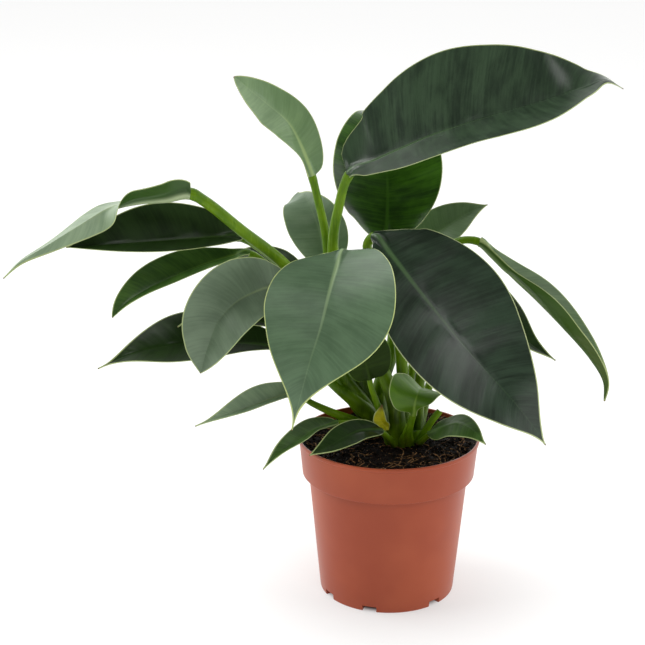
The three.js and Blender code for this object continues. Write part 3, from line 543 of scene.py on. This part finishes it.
def new_tree(name, output, **inputs):
    """A Geometry Nodes tree with one output, and inputs as named, each with its socket's type."""
    tree = bpy.data.node_groups.new(name, "GeometryNodeTree")
    for socket, kind in inputs.items():
        tree.interface.new_socket(socket, in_out="INPUT", socket_type="NodeSocket" + kind)
    tree.interface.new_socket(output, in_out="OUTPUT", socket_type="NodeSocketGeometry")
    return tree, add(tree, "NodeGroupInput").outputs


def set_tree(obj, tree, **values):
    """Puts the tree on the object and sets its inputs, each by its socket's identifier."""
    step = obj.modifiers.new(tree.name, "NODES")
    step.node_group = tree
    key = {item.name: item.identifier for item in tree.interface.items_tree}
    for name, value in values.items():
        step[key[name]] = value


def stalk_tree(material):
    tree, given = new_tree("grown stalks", "Skin", Curves="Geometry", Sides="Int")
    marked = add(tree, "StoreNamedAttribute", {"data_type": "FLOAT", "domain": "POINT"},
                 Geometry=given["Curves"], Name="up_stalk", Value=add(tree, "SplineParameter"))
    circle = add(tree, "CurvePrimitiveCircle", Resolution=given["Sides"])
    tube = add(tree, "CurveToMesh", Curve=marked, Profile_Curve=circle,
               Scale=add(tree, "InputRadius"), Fill_Caps=True)
    real = add(tree, "RealizeInstances", Geometry=tube)
    coated = add(tree, "SetMaterial", Geometry=real, Material=material)
    add(tree, "NodeGroupOutput", Skin=coated)
    return tree


def plain_mesh_of(obj, name):
    """The evaluated object as a plain mesh object; the object with its modifier is removed."""
    seen = obj.evaluated_get(bpy.context.evaluated_depsgraph_get())
    mesh = bpy.data.meshes.new_from_object(seen)
    mesh.name = name
    bpy.data.objects.remove(obj)
    return put(name, mesh)

# %% [markdown]
# ## The finish of a stalk
# A stalk is brighter than its leaf, a fresh yellow-green with fine lengthwise fibres under a
# wet-looking skin. Towards the foot its green deepens: that is painted shade, where the stalks
# crowd into the stem. A fibre is drawn 1.4 mm wide and 17 mm long, coarser than the real one, so
# that it shows. Patches of colour are about 18 mm.

# %% The finish of a stalk
def stalk_finish():
    material, tree = new_material("fresh philodendron stalk, painted shade at the foot")
    up = add(tree, "Attribute", {"attribute_name": "up_stalk"}).outputs["Fac"]
    place = add(tree, "TexCoord").outputs["Object"]
    fine = add(tree, "Mapping", Vector=place, Scale=(0.7 * PER_MM, 0.7 * PER_MM, 0.06 * PER_MM))
    fibre = add(tree, "TexNoise", Vector=fine, Scale=1.0, Detail=4.0)
    patch = add(tree, "TexNoise", Vector=place, Scale=0.055 * PER_MM, Detail=3.0)
    # The first pair of greens, at the foot, is painted shade; the mix below runs up to the second pair.
    ends = [add(tree, MIX, COLOURS, _0=add(tree, RANGE, SMOOTH, _0=patch, _1=start, _2=full),
                _6=paint(dark), _7=paint(light))
            for start, full, dark, light in ((0.4, 0.62, "#375004", "#5a7a06"),
                                             (0.35, 0.75, "#547a08", "#789c10"))]
    high = add(tree, RANGE, SMOOTH, _0=up, _1=0.15, _2=0.6)
    colour = add(tree, MIX, COLOURS, _0=high, _6=ends[0], _7=ends[1])
    shown = add(tree, RANGE, SMOOTH, _0=fibre, _1=0.5, _2=0.75, _4=0.22)
    colour = add(tree, MIX, COLOURS, _0=shown, _6=colour, _7=paint("#a2c43c"))
    bump = add(tree, "Bump", Height=fibre, Strength=0.2, Distance=0.1 * MM)
    add(tree, "OutputMaterial", Surface=add(
        tree, "BsdfPrincipled", Base_Color=colour, Roughness=0.36, Normal=bump,
        Specular_IOR_Level=0.2, Subsurface_Weight=0.06, Subsurface_Radius=(0.6, 1.0, 0.2),
        Subsurface_Scale=2 * MM))
    return material

# %% [markdown]
# ## Grow the stalks
# Each short stem stands deep in the peat and has a rounded top. Its stalks start inside it and get
# thinner up to the blade, with a slight swelling just below it, as a living stalk has.

# %% Grow the stalks
STEM_FOOT = 84      # mm, the height of the stems' lower ends in the peat
RING_EVERY = 2.2    # mm between the rings of a stalk
NECK, SWELLING = 3, 0.12    # mm below the blade, and the share by which a stalk is wider there


def spline(curve, points, radii):
    new = curve.splines.new("POLY")
    new.points.add(len(points) - 1)
    for point, place, radius in zip(new.points, points, radii):
        point.co = (*(np.array(place) * MM), 1)
        point.radius = radius * MM


def stalks_of(stem, tree):
    curve = bpy.data.curves.new("lines", "CURVE")
    curve.dimensions = "3D"
    x, y, r = *stem["at"], stem["radius"]
    # The stem's heights in mm, each with its share of the radius.
    profile = [(STEM_FOOT, 0.7), (STEM_FOOT + 4, 1), (103, 1), (107, 0.9), (109, 0.72), (110, 0.3)]
    spline(curve, [(x, y, z) for z, k in profile], [k * r for z, k in profile])
    for leaf in [*stem["leaves"], *stem["sprouts"]]:
        line = stalk_and_rib(leaf)[0] if "rib" in leaf else Line(smooth_line(path(leaf["stalk"])))
        u = np.linspace(0, 1, int(line.length / RING_EVERY) + 2)
        places = line.walk(u * line.length)[0]
        foot, end = leaf["thick"] if "thick" in leaf else USUAL["thick"]
        radii = end + (foot - end) * (1 - u) ** 1.3
        radii += SWELLING * end * np.exp(-(((1 - u) * line.length - NECK) / NECK) ** 2)
        spline(curve, places, radii)
    obj = put("lines", curve)
    set_tree(obj, tree, Sides=SIDES)
    return plain_mesh_of(obj, f"stalks_{stem['name']}_skin")


stalk_nodes = stalk_tree(stalk_finish())
for stem in STEMS:
    skin = stalks_of(stem, stalk_nodes)
    keep_as_piece(skin, [f"stalks_{stem['name']}"], 60)
    print(skin.name, len(skin.data.polygons), "faces")

# %% [markdown]
# ## The pot
# A nursery pot is injection moulded from soft terracotta-coloured plastic: a tapered wall, a wider
# collar that steps out near the top, a thin rounded rim and six low slots under the foot to let
# water out. A turned profile gives the wall. Blocks set round the foot then cut the slots.

# %% Turn the pot
POT_HEIGHT, RIM, COLLAR_FOOT, COLLAR_Z = 107.4, 60, 57.1, 82.3
BODY_TOP, FOOT, WALL, FLOOR = 52.9, 45.1, 1.6, 1.8


def turned(name, profile, steps=144):
    """A closed solid turned about the Z axis from a profile of (radius, height) points."""
    shape = bmesh.new()
    rings = []
    for radius, z in profile:
        turns = np.linspace(0, 2 * np.pi, steps, endpoint=False)
        if radius < 1e-6:
            rings.append([shape.verts.new((0, 0, z * MM))])
        else:
            rings.append([shape.verts.new((radius * MM * math.cos(a), radius * MM * math.sin(a),
                                           z * MM)) for a in turns])
    for low, high in zip(rings, rings[1:] + rings[:1]):
        if len(low) == len(high) == 1:
            continue
        for k in range(steps):
            n = (k + 1) % steps
            corners = [low[k % len(low)], low[n % len(low)], high[n % len(high)], high[k % len(high)]]
            shape.faces.new(list(dict.fromkeys(corners)))
    bmesh.ops.recalc_face_normals(shape, faces=shape.faces)
    mesh = bpy.data.meshes.new(name)
    shape.to_mesh(mesh)
    shape.free()
    return put(name, mesh)


def wall_at(z):
    return FOOT + (BODY_TOP - FOOT) * z / COLLAR_Z


def collar_inside(z):
    return COLLAR_FOOT - WALL + (RIM - COLLAR_FOOT) * (z - COLLAR_Z) / (POT_HEIGHT - COLLAR_Z)


def arc(x, z, radius, start, end, count=5):
    return [(x + radius * math.cos(math.radians(a)), z + radius * math.sin(math.radians(a)))
            for a in np.linspace(start, end, count)]


outside = [(0, 0), (FOOT - 1.4, 0), *arc(FOOT - 0.8, 0.8, 0.8, -90, 0, 4),
           *[(wall_at(z), z) for z in (20, 45, 65, COLLAR_Z - 0.5)],
           *arc(BODY_TOP + 0.45, COLLAR_Z - 0.45, 0.45, 180, 90, 4),
           (COLLAR_FOOT - 0.9, COLLAR_Z), *arc(COLLAR_FOOT - 0.65, COLLAR_Z + 0.7, 0.65, -90, 0, 5),
           (COLLAR_FOOT + 1.1, COLLAR_Z + 12.5), (RIM - 0.75, POT_HEIGHT - 2.7),
           *arc(RIM - 0.5, POT_HEIGHT - 1.9, 0.5, -70, 0, 4),
           *arc(RIM - 0.7, POT_HEIGHT - 0.7, 0.7, 0, 90, 5)]
inside = [*arc(RIM - WALL + 0.6, POT_HEIGHT - 0.6, 0.6, 90, 180, 4), (collar_inside(95), 95),
          (collar_inside(85.5), 85.5), (wall_at(84) - WALL, 84), (wall_at(40) - WALL, 40),
          (wall_at(4) - WALL, 4), (wall_at(2) - WALL - 1.5, FLOOR), (0, FLOOR)]
pot = turned("nursery_pot", [*outside, *inside])
print("pot wall:", len(pot.data.polygons), "faces")

# %% [markdown]
# ## Pads, slots and drain holes under the foot
# Six hollow pads repeat round the foot. Each is a block of plastic that stands up inside the pot,
# with a slot cut in from outside and a round drain hole through its roof. One Geometry Nodes tree
# sets a form on every mark round the foot and joins it to the wall or takes it away, so the same
# tree does all three, and it also cuts the peat to fit over the pads.

# %% A tree that shapes the foot
def foot_tree(name, operation, is_round):
    tree, given = new_tree(name, "Shaped", Body="Geometry", Marks="Object", Finish="Material",
                           Width="Float", Length="Float", Height="Float", Inward="Float", Middle="Float")
    marks = add(tree, "ObjectInfo", Object=given["Marks"]).outputs["Geometry"]
    turn = add(tree, "InputNamedAttribute", {"data_type": "FLOAT"}, Name="bearing")
    angle = add(tree, "ShaderNodeCombineXYZ", Z=turn)
    if is_round:
        radius = add(tree, MATHS, TIMES, _0=given["Width"], _1=0.5)
        form = add(tree, "MeshCylinder", Vertices=32, Radius=radius, Depth=given["Height"])
    else:
        size = add(tree, "ShaderNodeCombineXYZ", X=given["Width"], Y=given["Length"], Z=given["Height"])
        form = add(tree, "MeshCube", Size=size)
    shift = add(tree, "ShaderNodeCombineXYZ", Y=given["Inward"], Z=given["Middle"])
    form = add(tree, "Transform", Geometry=form, Translation=shift)
    forms = add(tree, "InstanceOnPoints", Points=marks, Instance=form, Rotation=angle)
    tools = add(tree, "RealizeInstances", Geometry=forms)
    # A union takes the body among its tools; a difference takes it as its first mesh.
    work = add(tree, "MeshBoolean", {"operation": operation, "solver": "EXACT"})
    tree.links.new(given["Body"], work.inputs["Mesh 2" if operation == "UNION" else "Mesh 1"])
    tree.links.new(tools.outputs[0], work.inputs["Mesh 2"])
    real = add(tree, "RealizeInstances", Geometry=work)
    coated = add(tree, "SetMaterial", Geometry=real, Material=given["Finish"])
    add(tree, "NodeGroupOutput", Shaped=coated)
    return tree


def shaped_foot(obj, name, finish, marks, work):
    for label, operation, is_round, sizes in work:
        lengths = {size: value * MM for size, value in sizes.items()}
        set_tree(obj, foot_tree(label, operation, is_round), Marks=marks, Finish=finish, **lengths)
    return plain_mesh_of(obj, name)

# %% [markdown]
# ## The finish of the pot
# Nursery pots are moulded from dyed polypropylene. The eye gets an even brick orange with a broad
# satin sheen, slightly clouded where the melt flowed, over a fine matt grit from the mould. The
# clouds are about 55 mm across and the grit 0.45 mm, as coarse as it needs to be to show.

# %% The finish of the pot
def pot_finish():
    material, tree = new_material("moulded terracotta polypropylene")
    place = add(tree, "TexCoord").outputs["Object"]
    cloud = add(tree, "TexNoise", Vector=place, Scale=0.018 * PER_MM, Detail=3.0)
    grit = add(tree, "TexNoise", Vector=place, Scale=2.2 * PER_MM, Detail=2.0)
    lighter = add(tree, RANGE, SMOOTH, _0=cloud, _1=0.35, _2=0.7)
    colour = add(tree, MIX, COLOURS, _0=lighter, _6=paint("#9f4425"), _7=paint("#ab502f"))
    bump = add(tree, "Bump", Height=grit, Strength=0.12, Distance=0.05 * MM)
    sheen = add(tree, RANGE, SMOOTH, _0=cloud, _1=0.3, _2=0.7, _3=0.33, _4=0.42)
    add(tree, "OutputMaterial", Surface=add(
        tree, "BsdfPrincipled", Base_Color=colour, Roughness=sheen, Normal=bump,
        Specular_IOR_Level=0.34))
    return material

# %% [markdown]
# ## Shape the foot of the pot
# Marks round the foot say where the slots are. Three of them show in the photo and the others are
# set about as far apart. Pads come first, then slots from outside, then holes through the roofs.

# %% Shape the foot of the pot
SLOT_BEARINGS = [-60, -17, 42, 103, 163, 222]       # degrees from the front, and sizes in mm
SLOT_WIDTH, SLOT_HEIGHT, SLOT_LENGTH, SLOT_MIDDLE = 9.5, 4.0, 22.0, 40.1
DRAIN_WIDTH, DRAIN_MIDDLE, PAD_FOOT, PAD_END = 5.2, 37.1, 0.4, 44.2

marks_mesh = bpy.data.meshes.new("foot marks")
turns = [math.radians(b) for b in SLOT_BEARINGS]
marks_mesh.from_pydata([(SLOT_MIDDLE * MM * math.sin(a), -SLOT_MIDDLE * MM * math.cos(a), 0)
                        for a in turns], [], [])
marks_mesh.attributes.new("bearing", "FLOAT", "POINT").data.foreach_set("value", turns)
marks = put("foot marks", marks_mesh)

pad_start = SLOT_MIDDLE - SLOT_LENGTH / 2 - WALL
pot = shaped_foot(pot, "nursery_pot", pot_finish(), marks, [
    ("pads", "UNION", False, {
        "Width": SLOT_WIDTH + 2 * WALL, "Length": PAD_END - pad_start,
        "Height": SLOT_HEIGHT + WALL - PAD_FOOT, "Inward": SLOT_MIDDLE - (PAD_END + pad_start) / 2,
        "Middle": (SLOT_HEIGHT + WALL + PAD_FOOT) / 2}),
    ("slots", "DIFFERENCE", False, {
        "Width": SLOT_WIDTH, "Length": SLOT_LENGTH, "Height": 2 * SLOT_HEIGHT}),
    ("drains", "DIFFERENCE", True, {
        "Width": DRAIN_WIDTH, "Height": 3 * SLOT_HEIGHT, "Inward": SLOT_MIDDLE - DRAIN_MIDDLE,
        "Middle": SLOT_HEIGHT})])
keep_as_piece(pot, ["pot"], 32)
print("pot:", len(pot.data.polygons), "faces")

# %% [markdown]
# ## The peat
# The peat is a crumbly dark body that settles a little below the rim. Its own surface is bumpy, and
# on it lie crumbs and tan root fibres. Geometry Nodes strew both over the surface with a fixed
# seed, which is far quicker than placing thousands of grains by hand.

# %% The body of the peat
SOIL_TOP, SOIL_GAP, HEAP = 99.3, 0.3, 5.5       # mm; the peat lies HEAP higher at the back right


def heaped(x, y):
    t = np.clip((0.7 * (x + y) + 15) / 60, 0, 1)
    return HEAP * t * t * (3 - 2 * t)


def lumps(x, y):
    """Broad lumps of the peat's surface in mm, the same as those of its solid."""
    a = np.sin(x * 0.31 + 1.2) * np.cos(y * 0.27 - 0.4)
    b = np.sin(x * 0.13 - y * 0.61 + 2) * 0.6
    c = np.cos(x * 0.71 + y * 0.23) * 0.4
    return 1.3 * (a + b + c) / 1.6


soil_rim = collar_inside(SOIL_TOP) - SOIL_GAP
edge = [(0, FLOOR + SOIL_GAP), (wall_at(0) - WALL - 1.8, FLOOR + SOIL_GAP),
        (wall_at(4) - WALL - SOIL_GAP, 4), (wall_at(84) - WALL - SOIL_GAP, 84),
        (collar_inside(86) - SOIL_GAP, 86), (soil_rim, SOIL_TOP)]
rings = [(soil_rim * k, SOIL_TOP) for k in np.linspace(0.985, 0.015, 66)] + [(0, SOIL_TOP)]
peat = turned("peat", [*edge, *rings], steps=150)
places = np.array([v.co for v in peat.data.vertices]) / MM
on_top = places[:, 2] > SOIL_TOP - 0.01
inward = 1 - np.hypot(places[:, 0], places[:, 1]) / soil_rim
bumps = sum(np.sin(places[:, 0] * fx + px) * np.sin(places[:, 1] * fy + py) * h for fx, fy, px, py, h in
            ((1.1, 1.3, 0.3, 1.9, 0.35), (2.3, 1.9, 2.0, 0.4, 0.28), (3.4, 3.9, 1.1, 2.7, 0.2)))
lift = lumps(places[:, 0], places[:, 1]) * np.minimum(1, inward * 6) + 1.2 * inward
lift += bumps * np.minimum(1, inward * 12)
heap = heaped(places[:, 0], places[:, 1])
wider = (collar_inside(SOIL_TOP + heap) - SOIL_GAP) / soil_rim
places[:, :2] *= np.where(on_top, wider, 1)[:, None]
places[:, 2] += np.where(on_top, heap + lift, 0)
peat.data.vertices.foreach_set("co", (places * MM).astype(np.float32).ravel())
peat.data.update()

# %% [markdown]
# ## The finish of peat
# Moist peat is almost black and drinks light. The eye gets dull brown grains on near black, with
# sparse tan specks where a dry fibre lies open. Grains are about 2.4 mm in the bed and 1.5 mm in
# the crumbs. The bed is then cut to fit over the pads in the pot.

# %% The finish of peat
def peat_finish(name, dark, brown, light, scale):
    material, tree = new_material(name)
    place = add(tree, "TexCoord").outputs["Object"]
    crumb = add(tree, "TexNoise", Vector=place, Scale=scale, Detail=6.0, Roughness=0.65)
    spot = add(tree, "TexVoronoi", Vector=place, Scale=scale * 0.8)
    grains = add(tree, RANGE, SMOOTH, _0=crumb, _1=0.42, _2=0.62)
    colour = add(tree, MIX, COLOURS, _0=grains, _6=paint(dark), _7=paint(brown))
    specks = add(tree, RANGE, SMOOTH, _0=spot, _1=0.15, _2=0.09, _4=0.9)
    colour = add(tree, MIX, COLOURS, _0=specks, _6=colour, _7=paint(light))
    bump = add(tree, "Bump", Height=crumb, Strength=0.9, Distance=0.6 * MM)
    add(tree, "OutputMaterial", Surface=add(
        tree, "BsdfPrincipled", Base_Color=colour, Roughness=0.75, Normal=bump,
        Specular_IOR_Level=0.15))
    return material


crumb_finish = peat_finish("peat crumbs", "#030201", "#22130a", "#c09264", 0.65 * PER_MM)
fibre_finish = peat_finish("dry root fibre", "#3c2815", "#96704a", "#dcbf9a", 0.3 * PER_MM)
bed_finish = peat_finish("moist peat", "#020101", "#1a0e06", "#a67a50", 0.42 * PER_MM)
around = WALL + SOIL_GAP
peat = shaped_foot(peat, "peat", bed_finish, marks, [("seats", "DIFFERENCE", False, {
    "Width": SLOT_WIDTH + 2 * around, "Length": SLOT_LENGTH + around,
    "Height": 2 * (SLOT_HEIGHT + around), "Inward": around / 2})])
bpy.data.objects.remove(marks)
print("peat:", len(peat.data.polygons), "faces")

# %% [markdown]
# ## Strew crumbs and fibres
# A crumb is a small ball and a fibre a bent thread. One tree strews either: it turns and scales
# each grain by chance and then pushes its points about, so that no two are alike. Grains that
# would reach past the pot's wall are drawn in.

# %% Strew crumbs and fibres
STREW_RADIUS = 54.5             # mm, where the strewn ring of the peat ends
CRUMB_RADIUS, FIBRE_RADIUS = 1.1 * MM, 0.3 * MM
PUSH = 1.6 * MM                 # how far a grain's points are pushed, at most half of it each way


def strewing_tree(name, build_grain, material, tilt):
    tree, given = new_tree(name, "Grains", Surface="Geometry", Density="Float")
    spots = add(tree, "DistributePointsOnFaces", Mesh=given["Surface"], Density=given["Density"], Seed=11)
    spin = add(tree, "FunctionNodeRandomValue", {"data_type": "FLOAT_VECTOR"}, Seed=3,
               Min=(-tilt, -tilt, 0), Max=(tilt, tilt, 2 * math.pi))
    grow = add(tree, "FunctionNodeRandomValue", {"data_type": "FLOAT_VECTOR"}, Seed=5,
               Min=(0.5, 0.5, 0.4), Max=(1.5, 1.3, 1.0))
    grains = add(tree, "InstanceOnPoints", Points=spots, Instance=build_grain(tree),
                 Rotation=spin, Scale=grow)
    real = add(tree, "RealizeInstances", Geometry=grains)
    wander = add(tree, "ShaderNodeTexNoise", Scale=0.9 * PER_MM, Detail=2.0,
                 Vector=add(tree, "InputPosition")).outputs["Color"]
    middle = add(tree, "ShaderNodeVectorMath", {"operation": "SUBTRACT"}, _0=wander, _1=(0.5, 0.5, 0.5))
    push = add(tree, "ShaderNodeVectorMath", {"operation": "SCALE"}, _0=middle, Scale=PUSH)
    bent = add(tree, "SetPosition", Geometry=real, Offset=push)
    coated = add(tree, "SetMaterial", Geometry=bent, Material=material)
    add(tree, "NodeGroupOutput", Grains=coated)
    return tree


def crumb(tree):
    return add(tree, "MeshIcoSphere", Radius=CRUMB_RADIUS, Subdivisions=2)


def fibre(tree):
    line = add(tree, "CurvePrimitiveBezierSegment", Resolution=14,
               Start=(-0.008, -0.002, 0.0004), Start_Handle=(-0.003, 0.006, 0.0022),
               End_Handle=(0.003, -0.007, 0.002), End=(0.009, 0.001, 0.001))
    ring = add(tree, "CurvePrimitiveCircle", Resolution=6, Radius=FIBRE_RADIUS)
    return add(tree, "CurveToMesh", Curve=line, Profile_Curve=ring, Fill_Caps=True)


def strewn(name, tree, density):
    """So many of the tree's grains a square metre over the top of the peat, as a plain mesh."""
    top = peat.data.copy()
    shape = bmesh.new()
    shape.from_mesh(top)
    low = [f for f in shape.faces if f.calc_center_median().z < (SOIL_TOP - 2) * MM
           or f.normal.z < 0.2 or f.calc_center_median().xy.length > STREW_RADIUS * MM]
    bmesh.ops.delete(shape, geom=low, context="FACES")
    shape.to_mesh(top)
    shape.free()
    obj = put(name, top)
    set_tree(obj, tree, Density=density)
    return plain_mesh_of(obj, name)


crumbs = strewn("peat_crumbs", strewing_tree("crumbs", crumb, crumb_finish, 1.0), 160000.0)
fibres = strewn("root_fibres", strewing_tree("fibres", fibre, fibre_finish, 0.3), 12000.0)
for piece in (crumbs, fibres):
    spots = np.array([v.co for v in piece.data.vertices]) / MM
    room = collar_inside(spots[:, 2]) - SOIL_GAP
    spots[:, :2] *= np.minimum(1, room / np.maximum(np.hypot(spots[:, 0], spots[:, 1]), 1))[:, None]
    piece.data.vertices.foreach_set("co", (spots * MM).astype(np.float32).ravel())
    keep_as_piece(piece, [])
    print(piece.name, len(piece.data.polygons), "faces")
keep_as_piece(peat, ["soil"], 60)

# %% [markdown]
# ## Floor
# The plant stands on a seamless sweep of white, lit until it is almost white paper. A pale matt
# sheet does this, with a glow of its own; the glow is a little less near the pot and gone under it,
# which is a painted soft shadow round the foot and keeps the slots dark.

# %% Floor
floor_mesh = bpy.data.meshes.new("floor")
floor_mesh.from_pydata([(-9, -3, 0), (9, -3, 0), (9, 15, 0), (-9, 15, 0)], [], [(0, 1, 2, 3)])
material, tree = new_material("white sweep with painted shadow")
spot = add(tree, "TexCoord").outputs["Object"]
off = add(tree, "VectorMath", {"operation": "LENGTH"}, _0=spot)
# Painted shadow: no glow under the pot, so its slots look dark, and the glow grows back outwards to 14 cm
# from the middle.
painted_shadow_foot = add(tree, RANGE, SMOOTH, _0=off, _1=38 * MM, _2=45.5 * MM, _4=0.47)
painted_shadow_wide = add(tree, RANGE, SMOOTH, _0=off, _1=45 * MM, _2=140 * MM, _4=0.17)
glow = add(tree, MATHS, _0=painted_shadow_foot, _1=painted_shadow_wide)
add(tree, "OutputMaterial", Surface=add(
    tree, "BsdfPrincipled", Base_Color=paint("#bcbcbb"), Roughness=0.9, Specular_IOR_Level=0.0,
    Emission_Color=paint("#ffffff"), Emission_Strength=glow))
floor_mesh.materials.append(material)
put("floor", floor_mesh)

# %% [markdown]
# ## Light
# A leather-like leaf shows its form by what it mirrors, so the light comes from wide soft boxes at
# the left, front and right and from a white world that is brightest behind the plant.

# %% Light
world = bpy.data.worlds.new("white studio")
world.use_nodes = True
tree = world.node_tree
way = add(tree, "SeparateXYZ", _0=add(tree, "TexCoord").outputs["Generated"])
sweep = add(tree, RANGE, SMOOTH, _0=way.outputs[1], _1=-0.45, _2=0.5, _3=0.06, _4=1.9)
ceiling = add(tree, RANGE, SMOOTH, _0=way.outputs[2], _1=0.4, _2=0.95, _3=1.0, _4=0.35)
glow = add(tree, MATHS, TIMES, _0=sweep, _1=ceiling)
tree.links.new(glow.outputs[0], tree.nodes["Background"].inputs["Strength"])
tree.nodes["Background"].inputs["Color"].default_value = paint("#ffffff")
bpy.context.scene.world = world


def soft_box(name, place, size, radiance, target=(0, 0, 0.2)):
    """A soft box whose face has the given brightness, 1 being the white of the sweep."""
    light = bpy.data.lights.new(name, "AREA")
    light.shape, light.size, light.size_y = "RECTANGLE", *size
    light.energy = radiance * math.pi * size[0] * size[1]
    lamp = put(name, light)
    lamp.location = place
    way = np.array(target) - np.array(place)
    lamp.rotation_euler = (math.atan2(math.hypot(way[0], way[1]), -way[2]), 0,
                           math.atan2(way[1], way[0]) - math.pi / 2)
    print(name, round(light.energy, 1), "W")


soft_box("left box", (-2.2, 0.2, 2.0), (2.2, 1.2), 4.8)
soft_box("front box", (0.4, -1.9, 1.9), (1.6, 0.8), 4.0)
soft_box("right box", (2.0, -0.5, 0.9), (1.2, 1.2), 2.6)

# %% [markdown]
# ## Camera
# The camera was found from the pot, whose rim and foot are round and of known size. It stands
# 88 cm in front, looks down by about 17 degrees, and has a long lens, as product photos have.

# %% Camera
camera = put("camera", bpy.data.cameras.new("camera"))
camera.location = (-0.0438, -0.8795, 0.4486)
camera.rotation_euler = (math.radians(73.33), 0, 0)
camera.data.sensor_width, camera.data.lens = 36, 79.12
camera.data.clip_start, camera.data.clip_end = 0.01, 60
bpy.context.scene.camera = camera
bpy.context.scene.view_settings.view_transform = "Standard"
print("camera:", [round(v, 3) for v in camera.location], "lens", round(camera.data.lens, 2), "mm")
